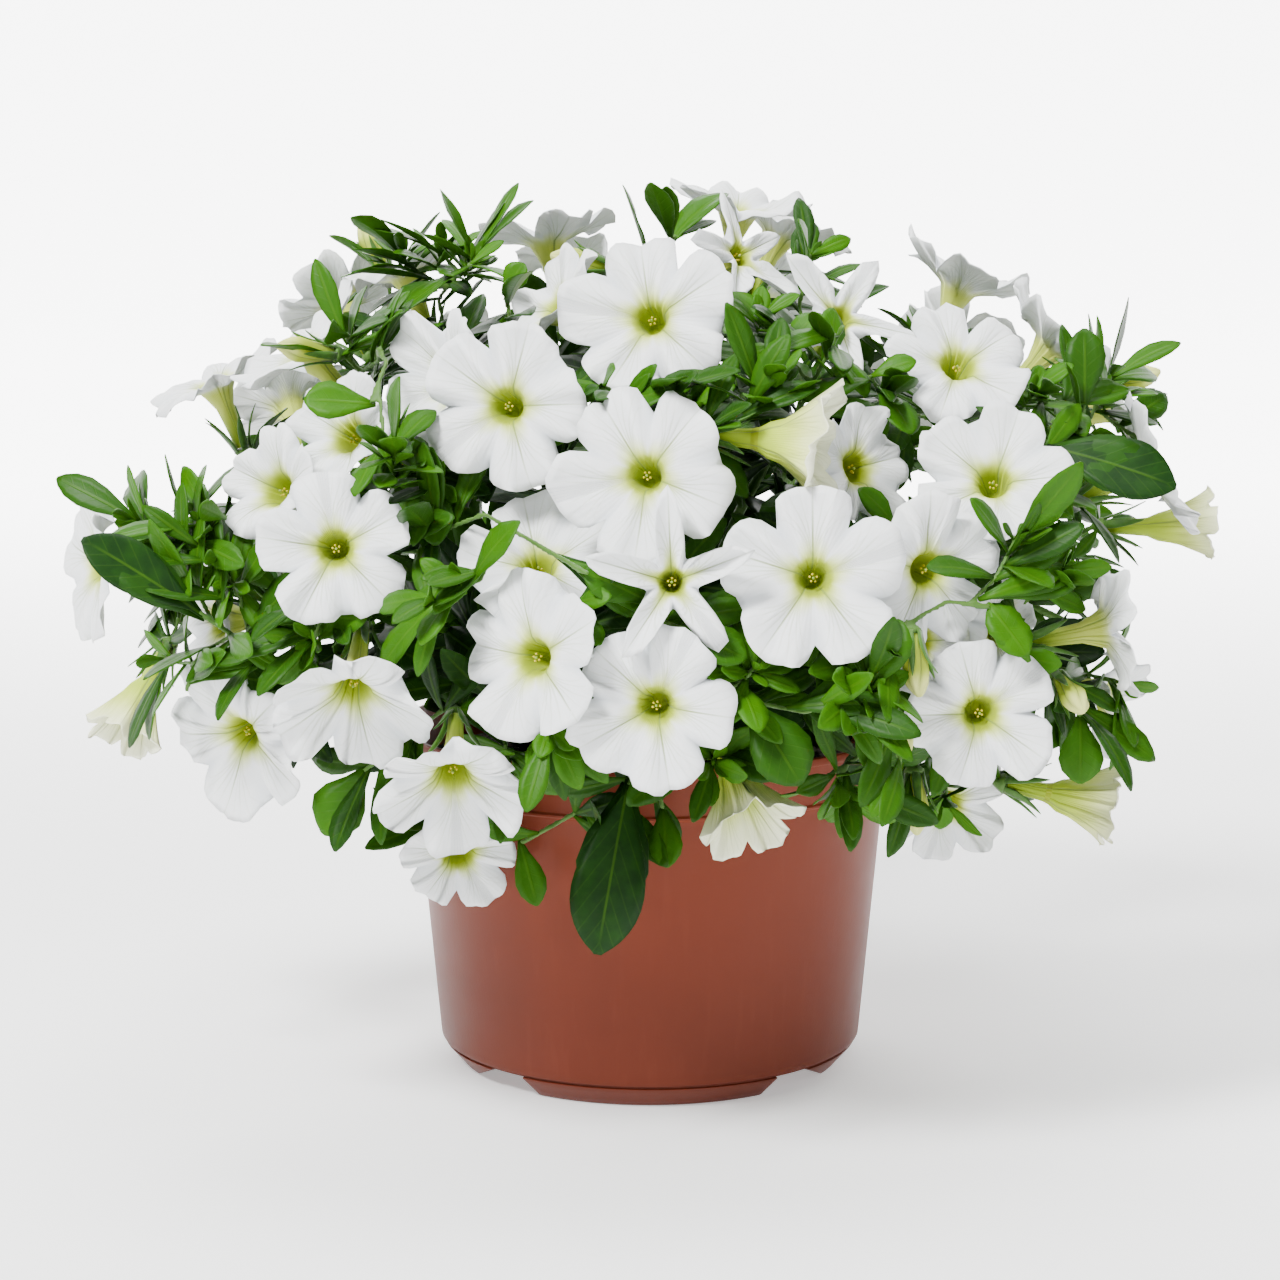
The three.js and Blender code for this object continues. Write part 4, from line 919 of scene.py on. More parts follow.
def rim_outline(corolla, rng):
    """The rim at each column: its lobe, the turn within it, its reach and its height."""
    kind = corolla["kind"]
    dents = [rng.uniform(0.0, 0.07) if kind == "open" else -0.12 for _ in range(LOBES)]
    clefts = [rng.uniform(0.04, 0.2) if kind != "star" else 0.0 for _ in range(LOBES)]
    reaches = [rng.uniform(0.95, 1.05) for _ in range(LOBES)]
    shifts = [rng.uniform(-5, 5) for _ in range(LOBES)]
    waves = [(rng.uniform(0.004, 0.012), rng.uniform(0, ANY_TURN), n) for n in RIM_WAVES]
    rim = []
    for column in range(COLUMNS):
        angle = 360 * column / COLUMNS
        lobe = int(((angle + HALF_LOBE) % 360) // LOBE_ANGLE)
        turn = (angle + HALF_LOBE) % LOBE_ANGLE - HALF_LOBE
        leaned = turn + shifts[lobe] * lobe_middle(turn)
        leaned = max(-HALF_LOBE, min(HALF_LOBE, leaned))
        reach, up = lobe_profile(leaned, corolla["lobes"][lobe], kind)
        cleft = clefts[(lobe + 1) % LOBES] if turn > 0 else clefts[lobe]
        reach *= 1 - cleft * bell(HALF_LOBE - abs(turn), 5)
        reach *= 1 + (reaches[lobe] - 1) * lobe_middle(turn)
        reach *= 1 - dents[lobe] * bell(turn, 5)
        reach *= 1 + sum(size * math.sin(n * math.radians(angle) + phase) for size, phase, n in waves)
        rim.append((lobe, turn, reach, up))
    return rim


class Limb:
    """The spread part of a corolla, from its throat to its rim, with its grooves, folds and ruffles."""

    def __init__(self, corolla, rng, petal):
        self.kind, self.depth, self.petal = corolla["kind"], corolla["depth"], petal
        self.throat = corolla["throat"] * EYE_SHARE
        self.flare = FORMS[self.kind]["flare"]
        self.size = min(1.0, corolla["radius"] / FULL_RADIUS)
        self.ruffle = [(rng.uniform(0.3, 0.7), rng.uniform(0, ANY_TURN), n) for n in RUFFLES]
        rolled = 2.5 if self.kind == "trumpet" else 0
        self.curl = [rng.uniform(-1.6, 3.2) + rolled for _ in range(LOBES)]
        self.fold = [rng.uniform(0.6, 1.7) for _ in range(LOBES)]
        self.crease = [rng.uniform(0.4, 1.0) for _ in range(LOBES)]
        self.twist = rng.choice((-1, 1)) * rng.uniform(0.4, 1.2)
        self.rim = rim_outline(corolla, rng)

    def relief(self, lobe, turn, angle, share):
        """How far the petal stands up or down from its plain flare."""
        groove = -self.crease[lobe] * bell(turn, 6) * math.sin(math.pi * min(1, share * 0.85 + 0.1))
        swell = 0.95 * self.fold[lobe] * math.sin(math.pi * abs(turn) / HALF_LOBE) * share
        notch = -1.9 * bell(HALF_LOBE - abs(turn), 7) * share ** 2
        waves = sum(part * math.sin(n * angle + phase) for part, phase, n in self.ruffle) * share ** 3
        puckers = 0.16 * math.sin(PUCKERS * angle + 9 * share) * math.sin(math.pi * share)
        bent = -self.curl[lobe] * share ** 5 * (1.3 if self.kind == "star" else 1)
        leaning = self.twist * math.sin(LOBES * angle) * share ** 2
        return groove + swell + notch + 0.8 * waves + puckers + bent + leaning

    def corner(self, column, share, under):
        """Radius and height at a share of the way from the throat to the rim."""
        lobe, turn, reach, up = self.rim[column]
        angle = math.radians(360 * column / COLUMNS)
        radius = self.throat + (reach - self.throat) * share
        height = -self.depth - 0.8 * (1 - share) ** 2 + (up + self.depth) * share ** self.flare
        height += self.size * self.relief(lobe, turn, angle, share)
        if self.kind == "star":
            height -= 2.6 * (abs(turn) / HALF_LOBE) ** 1.2 * share
        elif self.kind == "trumpet":
            pleat = math.cos(math.pi * turn / HALF_LOBE)
            radius *= 1 + 0.09 * pleat * math.sin(math.pi * min(1, share * 0.8 + 0.1))
        if under:
            thick = self.petal * (1 - 0.35 * share)
            return radius + 0.35 * (1 - share), height - thick - 0.5 * (1 - share), share
        return radius, height, share


def corolla_corners(pattern, corolla, rng, petal):
    """Where each corner of the pattern lies on this corolla, and its reach along the petal."""
    limb = Limb(corolla, rng, petal)
    throat, depth = limb.throat, corolla["depth"]
    tube = FORMS[corolla["kind"]]["tube"]
    outer = [(radius, -depth - (tube - depth) * down, reach) for radius, down, reach in TUBE_SKIN]
    outer.append((throat, -depth - TUBE_NECK[0], TUBE_NECK[1]))
    inner = [(throat * wide, -depth - down, reach) for wide, down, reach in THROAT_WALL]
    out = np.zeros((len(pattern.ring), 3))
    reach = np.zeros(len(pattern.ring))
    for i, (column, ring) in enumerate(zip(pattern.column, pattern.ring)):
        angle = 2 * math.pi * column / COLUMNS
        if ring < 0:
            radius, height, share = 0.0, -tube, -1.0
        elif ring < TUBE_RINGS:
            radius, height, share = outer[ring]
        elif ring < TUBE_RINGS + LIMB_STEPS:
            step = ring - TUBE_RINGS + 0.5
            radius, height, share = limb.corner(column, step / (LIMB_STEPS - 0.5), True)
        elif ring < TUBE_RINGS + 2 * LIMB_STEPS:
            step = ring - TUBE_RINGS - LIMB_STEPS
            radius, height, share = limb.corner(column, 1 - step / (LIMB_STEPS - 0.5), False)
        elif ring < COROLLA_RINGS:
            radius, height, share = inner[ring - TUBE_RINGS - 2 * LIMB_STEPS]
        else:
            radius, height, share = 0.0, -depth - THROAT_FLOOR[0], THROAT_FLOOR[1]
        out[i] = (radius * math.cos(angle), radius * math.sin(angle), height)
        reach[i] = share
    return out, reach


def ball_pattern():
    """A small oval ball for anthers, from a sphere squeezed lengthways."""
    deselect_all()
    bpy.ops.mesh.primitive_uv_sphere_add(segments=8, ring_count=6, radius=1)
    ball = bpy.context.object
    edit_all()
    bpy.ops.transform.resize(value=(0.62, 0.62, 0.95))
    bpy.ops.object.mode_set(mode="OBJECT")
    return taken_apart(ball)


# The corolla's material slots, in the order of corolla_materials.
FACE_SLOT, POLLEN_SLOT, YOUNG_SLOT, STIGMA_SLOT = 0, 2, 3, 5


def corolla_materials():
    bloom = settings("calibrachoa_bloom")
    petal, throat = tuple(bloom.petal_color), tuple(bloom.throat_color)
    return [
        petal_material("white petal", petal, throat, (0.6, 0.7, 0.08), PETAL_SHADE, False),
        petal_material(
            "petal underside", petal, (0.5, 0.58, 0.08), (0.68, 0.74, 0.3), PETAL_SHADE, True
        ),
        plain_material("pollen", (0.5, 0.42, 0.01), (0.65, 0.55, 0.04), 0.7, 900.0, 0.6),
        petal_material(
            "young petal", (0.85, 0.87, 0.66), throat,
            (0.6, 0.7, 0.06), (0.74, 0.78, 0.45), False, 0.7,
        ),
        petal_material(
            "young petal underside", (0.84, 0.87, 0.56), (0.36, 0.5, 0.01),
            (0.6, 0.7, 0.05), (0.74, 0.8, 0.4), True, 1.15,
        ),
        plain_material("stigma", (0.2, 0.3, 0.03), (0.3, 0.38, 0.06), 0.4, 900.0, 0.3),
    ]


def add_anthers(gathered, corolla, ball, rng):
    """Five anthers in a ring, with the stigma between them."""
    corners, faces = ball
    for i in range(LOBES + 1):
        aside, depth, size = ANTHER if i < LOBES else STIGMA
        angle = 2 * math.pi * i / LOBES + rng.uniform(-0.2, 0.2)
        depth = corolla["depth"] + depth + rng.uniform(-0.4, 0.4)
        spot = np.array((aside * math.cos(angle), aside * math.sin(angle), -depth))
        slot = POLLEN_SLOT if i < LOBES else STIGMA_SLOT
        gathered.add(moved(corners * size + spot, corolla["place"]), faces, no_uvs(faces), slot)


def build_corolla(name, corolla, pattern, ball, materials, rng):
    petal = settings("calibrachoa_bloom").petal / MM
    corners, reach = corolla_corners(pattern, corolla, rng, petal)
    uvs = np.column_stack([pattern.loop_turns() + 0.5 / LOBES, reach[pattern.loops]])
    face_slot = YOUNG_SLOT if corolla["kind"] == "trumpet" else FACE_SLOT
    slots = []
    for face in pattern.faces:
        outside = np.mean([pattern.ring[i] for i in face]) < TUBE_RINGS + LIMB_STEPS - 0.5
        slots.append(face_slot + (1 if outside else 0))
    gathered = Collected()
    gathered.add(moved(corners, corolla["place"]), pattern.faces, uvs, slots)
    if corolla["kind"] != "star" or corolla["radius"] > SMALLEST_STAR_WITH_ANTHERS:
        add_anthers(gathered, corolla, ball, rng)
    piece = gathered.piece(name, materials)
    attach(piece, "root")
    return piece


class CALIBRACHOA_OT_corollas(bpy.types.Operator):
    """Builds every corolla over its solid: tube, throat, five ruffled lobes and anthers"""

    bl_idname = "calibrachoa.corollas"
    bl_label = "Corollas"

    def execute(self, context):
        materials = corolla_materials()
        pattern = Pattern("corolla", COLUMNS, COROLLA_RINGS)
        ball = ball_pattern()
        blooms = nodes_named("bloom")
        count = 0
        for node in nodes_named("bloom", "stem"):
            bm = merged_node(node)
            for corolla in find_corollas(bm):
                count += 1
                name = f"corolla_{count:02d}"
                piece = build_corolla(name, corolla, pattern, ball, materials, random.Random(count))
                if node in blooms:
                    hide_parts(node)
            bm.free()
        if count < len(blooms):
            raise RuntimeError(f"only {count} corollas were found")
        return {"FINISHED"}


# ---- leaves, calyxes and buds


def blade_pattern(name, across, along):
    """A flat blade, cut into a grid and given its thickness: corners as share across, along and up."""
    deselect_all()
    bpy.ops.mesh.primitive_grid_add(x_subdivisions=across, y_subdivisions=along, size=2)
    blade = bpy.context.object
    blade.name = name
    apply_modifier(blade, "SOLIDIFY", thickness=0.2, offset=0)
    return taken_apart(blade)


def leaf_width(share):
    """Half width of a blunt, spoon-shaped leaf along its length, as a share of its widest."""
    x = max(0.0, (share - 0.04) / 0.96)
    return max(0.1, math.sin(math.pi * min(1, x ** 1.5)) ** 0.7 if 0 < x < 1 else 0.0)


def sepal_width(share):
    """Half width of a narrow, pointed sepal along its length, as a share of its widest."""
    return max(0.06, (1 - share) ** 0.55 * (0.75 + 0.9 * share * (1 - share)))


def shape_blade(pattern, blade, rng, width_of, lift, thick):
    """Bends the flat pattern along a blade's arc: its corners, the veins' map and the underside."""
    corners, faces = pattern
    wave = rng.uniform(0, ANY_TURN)
    twist = rng.uniform(-0.25, 0.25)
    way, up, side = blade["way"], blade["up"], blade["side"]
    out = np.zeros((len(corners), 3))
    mark = np.zeros((len(corners), 2))
    under = np.zeros(len(corners))
    for i, (x, y, z) in enumerate(corners):
        # The rows lie closer together towards the tip, which is the rounder end.
        share = 1 - ((1 - y) / 2) ** 1.5
        half = blade["width"] / 2 * width_of(share)
        turn = blade["bend"] * share
        normal = up * math.cos(turn) + way * math.sin(turn)
        rolled = twist * (share - 0.3)
        sideways = side * math.cos(rolled) + normal * math.sin(rolled)
        outward = normal * math.cos(rolled) - side * math.sin(rolled)
        trough = lift * half * abs(x) * (1.15 - 0.45 * abs(x)) - 0.45 * math.sin(math.pi * share) - 0.1
        ripple = 0.07 * half * math.sin(8 * share + wave + 1.5 * x) * abs(x)
        thin = (1 - 0.45 * abs(x)) * (0.5 + 0.5 * min(1, 4 * (1 - share)))
        skin = (thick / 2) * (1 if z > 0 else -1) * thin
        rib = -0.22 * bell(x * half, 0.5) * (1 - share) if z < 0 else 0.0
        middle = along_arc(blade, share)
        out[i] = middle + sideways * (x * half) + outward * (trough + ripple + skin + rib)
        mark[i] = (x * half, share)
        under[i] = 0.0 if z > 0 else 1.0
    loops = [i for face in faces for i in face]
    return out, mark[loops], under


# The material slots of a leafy stem, in the order of foliage_materials.
LEAF_SLOT, SEPAL_SLOT, STEM_SLOT, BUD_SLOT = range(4)


def foliage_materials():
    foliage = settings("calibrachoa_foliage")
    return [
        leaf_material(tuple(foliage.young_color), tuple(foliage.old_color)),
        stem_material("sepal", (0.03, 0.11, 0.002), (0.05, 0.15, 0.006)),
        stem_material("stem", tuple(foliage.stem_color), (0.06, 0.15, 0.01)),
        petal_material(
            "bud", (0.72, 0.76, 0.22), (0.4, 0.5, 0.03), (0.5, 0.6, 0.06), (0.64, 0.7, 0.2), True
        ),
    ]


def clamped(value):
    return min(1.0, max(0.0, value))


def add_solid_leaves(gathered, blades, large, small, rng):
    """The leaves that the solid has, in their places."""
    thick = settings("calibrachoa_foliage").blade / MM
    for blade in blades:
        pattern = large if blade["large"] else small
        youth = 0.4 if blade["width"] < 6 else 0
        age = clamped((blade["length"] - 12) / 12 + rng.uniform(-0.3, 0.3) - youth)
        blade["length"] *= 1.03
        lift = rng.uniform(0.12, 0.32)
        corners, uvs, under = shape_blade(pattern, blade, rng, leaf_width, lift, thick)
        gathered.add(corners, pattern[1], uvs, LEAF_SLOT, age, under)


def add_sepals(gathered, sepals, pattern, rng):
    """Five narrow, spreading sepals on each seat."""
    for sepal in sepals:
        first, second = (vertex.co for vertex in sepal["seat"])
        base, tip = (first + second) / 2, sepal["tip"].co
        chord = tip - base
        side = (second - first).normalized()
        normal = side.cross(chord).normalized()
        if normal.dot(base - sepal["corner"].co) > 0:
            side, normal = -side, -normal
        bend = rng.uniform(-0.5, 0.3)
        way = (chord.normalized() * math.cos(bend / 2) + normal * math.sin(bend / 2)).normalized()
        up = side.cross(way) * -1
        if up.dot(normal) < 0:
            up = -up
        blade = {
            "length": chord.length * 1.02, "bend": bend, "width": rng.uniform(2.1, 2.6),
            "root": base - chord.normalized() * 0.6, "way": way, "up": up, "side": side,
        }
        corners, uvs, under = shape_blade(pattern, blade, rng, sepal_width, 0.12, LEAF_THICK)
        gathered.add(corners, pattern[1], uvs, SEPAL_SLOT, 0.3, under)


def add_bud(gathered, bud, pattern):
    """A furled bud: a pleated, slightly twisted tube that narrows to its tip."""
    corners = np.zeros((len(pattern.ring), 3))
    reach = np.zeros(len(pattern.ring))
    for i, (column, ring) in enumerate(zip(pattern.column, pattern.ring)):
        angle = 2 * math.pi * column / pattern.columns
        if ring < 0:
            radius, height = 0.0, 0.0
        elif ring < len(BUD_PROFILE):
            radius, height = BUD_PROFILE[ring]
            radius *= 1 + 0.13 * math.cos(LOBES * angle) * min(1, height / 5)
        else:
            radius, height = 0.0, BUD_LENGTH
        turned = angle + 0.08 * height
        corners[i] = (radius * math.cos(turned), radius * math.sin(turned), height)
        reach[i] = -1 + 1.6 * height / BUD_LENGTH
    uvs = np.column_stack([pattern.loop_turns(), reach[pattern.loops]])
    gathered.add(moved(corners, bud["place"]), pattern.faces, uvs, BUD_SLOT)


# ---- small leaves along the twigs


def group_shoots(blades):
    """Blades whose roots lie close together on one twig."""
    groups = []
    for blade in blades:
        if blade["large"]:
            continue
        root = blade["root"]
        near = [g for g in groups if any((other["root"] - root).length < SHOOT_GAP for other in g)]
        merged = [blade] + [other for g in near for other in g]
        groups = [g for g in groups if g not in near] + [merged]
    return groups


def leaf_at(root, way, up, length, width, bend):
    """A leaf on the even arc that starts at root along way and bends away from up."""
    side = up.cross(way).normalized()
    return {
        "root": root, "way": way, "up": way.cross(side).normalized(), "side": side,
        "length": length, "width": width, "bend": bend,
    }


def turned_round(axis, angle):
    """A direction square to the axis, at an angle round it."""
    helper = Vector((0, 0, 1)) if abs(axis.z) < 0.9 else Vector((1, 0, 0))
    across = helper.cross(axis).normalized()
    return across * math.cos(angle) + axis.cross(across) * math.sin(angle)


class Surroundings:
    """What small leaves keep clear of: petals, the view into each bloom, the pot and the box."""

    def __init__(self):
        corners, faces, self.blooms = [], [], []
        for piece in bpy.data.objects:
            if piece.name.startswith("corolla_"):
                first = len(corners)
                corners.extend(vertex.co / MM for vertex in piece.data.vertices)
                faces.extend([first + i for i in polygon.vertices] for polygon in piece.data.polygons)
        self.petals = BVHTree.FromPolygons(corners, faces)
        self.low, self.high = (corner / MM for corner in cad_bounds)
        for node in nodes_named("bloom", "stem"):
            bm = merged_node(node)
            for corolla in find_corollas(bm):
                self.blooms.append((corolla["place"].inverted(), corolla["radius"]))
            bm.free()

    def hides_bloom(self, point):
        for into, radius in self.blooms:
            local = into @ point
            if VIEW_AHEAD[0] < local.z < VIEW_AHEAD[1]:
                if math.hypot(local.x, local.y) < VIEW_SHARE * radius + VIEW_SPREAD * local.z:
                    return True
        return False

    def clear(self, point, gap):
        beside = math.hypot(point.x, point.y)
        if point.z < RIM_TOP and RIM_BAND[0] < beside < RIM_BAND[1]:
            return False
        if point.z < (SOIL_TOP if beside <= RIM_BAND[0] else LOWEST_LEAF):
            return False
        for value, low, high in zip(point, self.low, self.high):
            if value < low + BOX_MARGIN or value > high - BOX_MARGIN:
                return False
        return self.petals.find_nearest(point, gap)[0] is None and not self.hides_bloom(point)

    def takes(self, blade, gap=1.3):
        """Whether a whole blade has room."""
        root, way = blade["root"], blade["way"]
        if self.petals.ray_cast(root + way, way, blade["length"])[0] is not None:
            return False
        for share in (0.35, 0.7, 1.0):
            point = along_arc(blade, share)
            half = blade["side"] * (blade["width"] / 2 if share < 1 else 0)
            if not all(self.clear(spot, gap) for spot in (point + half, point - half, point)):
                return False
        return True


def crown_share(point):
    """0 at the middle of the crown and about 1 at its surface."""
    rise = point.z - CROWN_MIDDLE
    tall = CROWN_UP if rise > 0 else CROWN_DOWN
    return Vector((point.x / CROWN_ACROSS, point.y / CROWN_DEEP, rise / tall)).length


def outward_from(point):
    """Away from the crown's middle and a little upwards."""
    middle = Vector((0, 0, CROWN_MIDDLE - 15))
    return ((point - middle).normalized() + Vector((0, 0, 0.35))).normalized()


def add_rosette(gathered, group, pattern, rng, around):
    """Young leaves furled round a shoot's growing point, smaller towards its middle."""
    axis = sum((blade["way"] for blade in group), Vector())
    if len(group) < 2 or axis.length < 0.6:
        return
    axis.normalize()
    top = max(group, key=lambda blade: blade["root"].dot(axis))
    point = top["root"] + axis * 0.4
    start = rng.uniform(0, ANY_TURN)
    for i in range(ROSETTE_LEAVES):
        outward = turned_round(axis, start + i * GOLDEN_TURN)
        spread = math.radians(10 + 6.5 * i + rng.uniform(-6, 6))
        way = axis * math.cos(spread) + outward * math.sin(spread)
        up = axis * math.sin(spread) - outward * math.cos(spread)
        length = 4.5 + 1.05 * i + rng.uniform(-0.8, 0.8)
        width = length * rng.uniform(0.33, 0.43)
        blade = leaf_at(point - axis * (0.5 * i), way, up, length, width, rng.uniform(0.2, 0.8))
        if around.takes(blade, 0.6):
            corners, uvs, under = shape_blade(pattern, blade, rng, leaf_width, 0.3, 0.36)
            gathered.add(corners, pattern[1], uvs, LEAF_SLOT, rng.uniform(0, 0.15), under)


def twig_leaf(middle, forward, depth, rng):
    """A leaf that leans off a twig in a random direction, or None where it would point into the crown."""
    outward = outward_from(middle)
    radial = turned_round(forward, rng.uniform(0, ANY_TURN))
    lean = math.radians(rng.uniform(*TWIG_LEAN))
    way = (forward * math.cos(lean) + radial * math.sin(lean)).normalized()
    if depth > CROWN_TURN and way.dot(outward) < -0.25:
        return None
    lengths, widths = SKIN_LEAVES if depth > CROWN_SKIN else DEEP_LEAVES
    length = rng.uniform(*lengths)
    width = length * rng.uniform(*widths)
    return leaf_at(middle, way, outward, length, width, rng.uniform(*TWIG_BEND))


def twig_direction(near):
    """The middle of a short stretch of twig, and the way it grows."""
    middle = near.mean(axis=0)
    forward = Vector(np.linalg.svd(near - middle)[2][0])
    middle = Vector(middle)
    if forward.dot(middle - Vector((0, 0, TWIG_FOOT))) < 0:
        forward.negate()
    return middle, forward


def add_twig_leaves(gathered, twigs, pattern, rng, around):
    """Leaves all along the twigs: broad ones deep in the crown, dark there from age and painted shade,
    small and narrow ones outside.
    """
    gap = settings("calibrachoa_foliage").leaf_gap / MM
    tree = kdtree.KDTree(len(twigs))
    for i, corner in enumerate(twigs):
        tree.insert(corner, i)
    tree.balance()
    cells = set()
    order = list(range(len(twigs)))
    rng.shuffle(order)
    for i in order:
        corner = Vector(twigs[i])
        cell = tuple(int(part // gap) for part in corner)
        if cell in cells:
            continue
        near = np.array([found[0] for found in tree.find_range(corner, TWIG_REACH)])
        middle, forward = twig_direction(near)
        depth = crown_share(middle)
        for _ in range(LEAF_TRIES):
            blade = twig_leaf(middle, forward, depth, rng)
            if blade and around.takes(blade):
                # Deep in the crown a leaf takes the old, dark colour: partly its real age, partly painted
                # shade.
                age = clamped(2.0 - 1.55 * depth + rng.uniform(-0.35, 0.35))
                lift = rng.uniform(0.12, 0.4)
                corners, uvs, under = shape_blade(pattern, blade, rng, leaf_width, lift, LEAF_THICK)
                gathered.add(corners, pattern[1], uvs, LEAF_SLOT, age, under)
                cells.add(cell)
                break


# ---- leafy stems


def cut_off(bm, corners):
    """Takes corners away and closes the holes that they leave."""
    bmesh.ops.delete(bm, geom=list(corners), context="VERTS")
    bmesh.ops.holes_fill(bm, edges=bm.edges, sides=0)
    bmesh.ops.triangulate(bm, faces=[face for face in bm.faces if len(face.verts) > 3])


def round_twigs(name, bm, cut_away):
    """The bare twigs of a stem: its solid without blades and blooms, rounded off."""
    cut_off(bm, cut_away)
    for _ in range(2):
        cut_off(bm, find_lost_tips(bm))
    bmesh.ops.transform(bm, matrix=Matrix.Scale(MM, 4), verts=bm.verts)
    bmesh.ops.recalc_face_normals(bm, faces=bm.faces)
    mesh = bpy.data.meshes.new(name)
    bm.to_mesh(mesh)
    twigs = bpy.data.objects.new(name, mesh)
    bpy.context.scene.collection.objects.link(twigs)
    apply_modifier(twigs, "REMESH", mode="VOXEL", voxel_size=TWIG_VOXEL * MM)
    apply_modifier(twigs, "SMOOTH", factor=0.5, iterations=5)
    corners, faces = taken_apart(twigs)
    return corners / MM, faces


class CALIBRACHOA_OT_leafy_stems(bpy.types.Operator):
    """Builds each leafy stem over its solid: rounded twigs, leaves, calyxes and buds"""

    bl_idname = "calibrachoa.leafy_stems"
    bl_label = "Leafy stems"

    def execute(self, context):
        materials = foliage_materials()
        self.large = blade_pattern("leaf", 8, 14)
        self.small = blade_pattern("small_leaf", 4, 6)
        self.sepal = blade_pattern("sepal", 2, 5)
        self.bud = Pattern("bud", BUD_COLUMNS, len(BUD_PROFILE))
        self.around = Surroundings()
        leaves = 0
        for node in nodes_named("stem"):
            gathered, found = self.gather(node)
            leaves += found
            piece = gathered.piece(node.replace("stem", "leafy_stem"), materials)
            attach(piece, "root")
            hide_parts(node)
        if leaves < FEWEST_LEAVES:
            raise RuntimeError(f"only {leaves} leaves were found")
        return {"FINISHED"}

    def gather(self, node):
        """All faces of one leafy stem, and how many of the solid's leaves were found."""
        rng = random.Random(node)
        bm = merged_node(node)
        bm.verts.index_update()
        blades = find_blades(bm)
        sepals = find_sepals(bm, blades)
        buds = find_buds(bm)
        gathered = Collected()
        groups = group_shoots(blades)
        add_solid_leaves(gathered, blades, self.large, self.small, rng)
        for group in groups:
            add_rosette(gathered, group, self.small, rng, self.around)
        add_sepals(gathered, sepals, self.sepal, rng)
        for bud in buds:
            add_bud(gathered, bud, self.bud)
        cut_away = {sepal["tip"] for sepal in sepals}
        for shape in blades + buds + find_corollas(bm):
            cut_away |= shape["corners"]
        corners, faces = round_twigs(node, bm, cut_away)
        bm.free()
        add_twig_leaves(gathered, corners, self.small, rng, self.around)
        gathered.add(corners, faces, no_uvs(faces), STEM_SLOT)
        return gathered, len(blades)


# ---- pot and soil


class CALIBRACHOA_OT_pot(bpy.types.Operator):
    """Builds the pot: walls, rim band and lip, foot gaps and drain holes"""

    bl_idname = "calibrachoa.pot"
    bl_label = "Pot"

    def execute(self, context):
        options = settings("calibrachoa_pot")
        pot = closed_tube("pot_body", options.sides, len(POT_PROFILE))
        for vertex in pot.data.vertices:
            ring = round(vertex.co.z)
            radius, height = 0, FLOOR_UNDERSIDE if ring < 0 else FLOOR_TOP
            if 0 <= ring < len(POT_PROFILE):
                radius, height = POT_PROFILE[ring]
            vertex.co = (vertex.co.x * radius * MM, vertex.co.y * radius * MM, height * MM)
        self.cut_gaps(pot)
        self.cut_drains(pot)
        apply_modifier(
            pot, "BEVEL", width=POT_EDGE * MM, segments=2,
            limit_method="ANGLE", angle_limit=POT_EDGE_ANGLE,
        )
        make_active(pot)
        bpy.ops.object.shade_smooth_by_angle(angle=POT_SMOOTH_ANGLE)
        plastic = pot_material(tuple(options.upper_color), tuple(options.shaded_lower_color))
        pot.data.materials.clear()
        pot.data.materials.append(plastic)
        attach(pot, "root")
        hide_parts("pot")
        return {"FINISHED"}

    def cut(self, pot, cutter):
        apply_modifier(pot, "BOOLEAN", operation="DIFFERENCE", object=cutter, solver="EXACT")
        bpy.data.objects.remove(cutter)

    def cut_gaps(self, pot):
        """Four gaps in the foot ring, slanted more towards the sides."""
        for turn_x, turn_y in itertools.product((-1, 1), repeat=2):
            deselect_all()
            bpy.ops.mesh.primitive_cube_add(size=2)
            cutter = bpy.context.object
            diagonal = Vector((turn_x, turn_y, 0)).normalized()
            along = Vector((turn_x, -turn_y, 0)).normalized()
            for vertex in cutter.data.vertices:
                right, outer, top = (part > 0 for part in vertex.co)
                radius, ends = (CREASE_RADIUS, GAP_TOP) if top else (FOOT_RADIUS, GAP_BOTTOM)
                aside = radius * math.sin(math.radians(ends[right] - GAP_MIDDLE))
                vertex.co = (diagonal * GAP_REACH[outer] + along * aside) * MM
                vertex.co.z = GAP_HEIGHTS[top] * MM
            make_active(cutter)
            bpy.ops.object.mode_set(mode="EDIT")
            turn_faces_out()
            self.cut(pot, cutter)

    def cut_drains(self, pot):
        for i in range(DRAIN_HOLES):
            deselect_all()
            angle = math.radians(360 / DRAIN_HOLES * i)
            aside = DRAIN_CIRCLE * MM
            place = (aside * math.cos(angle), aside * math.sin(angle), DRAIN_MIDDLE * MM)
            bpy.ops.mesh.primitive_cylinder_add(
                vertices=24, radius=DRAIN_RADIUS * MM, depth=DRAIN_DEPTH * MM, location=place
            )
            self.cut(pot, bpy.context.object)


def soil_height(radius):
    """The soil's surface rises a little from its edge."""
    return SOIL_EDGE + SOIL_RISE * min(1, (SOIL_RADIUS - radius) / SOIL_SLOPE)


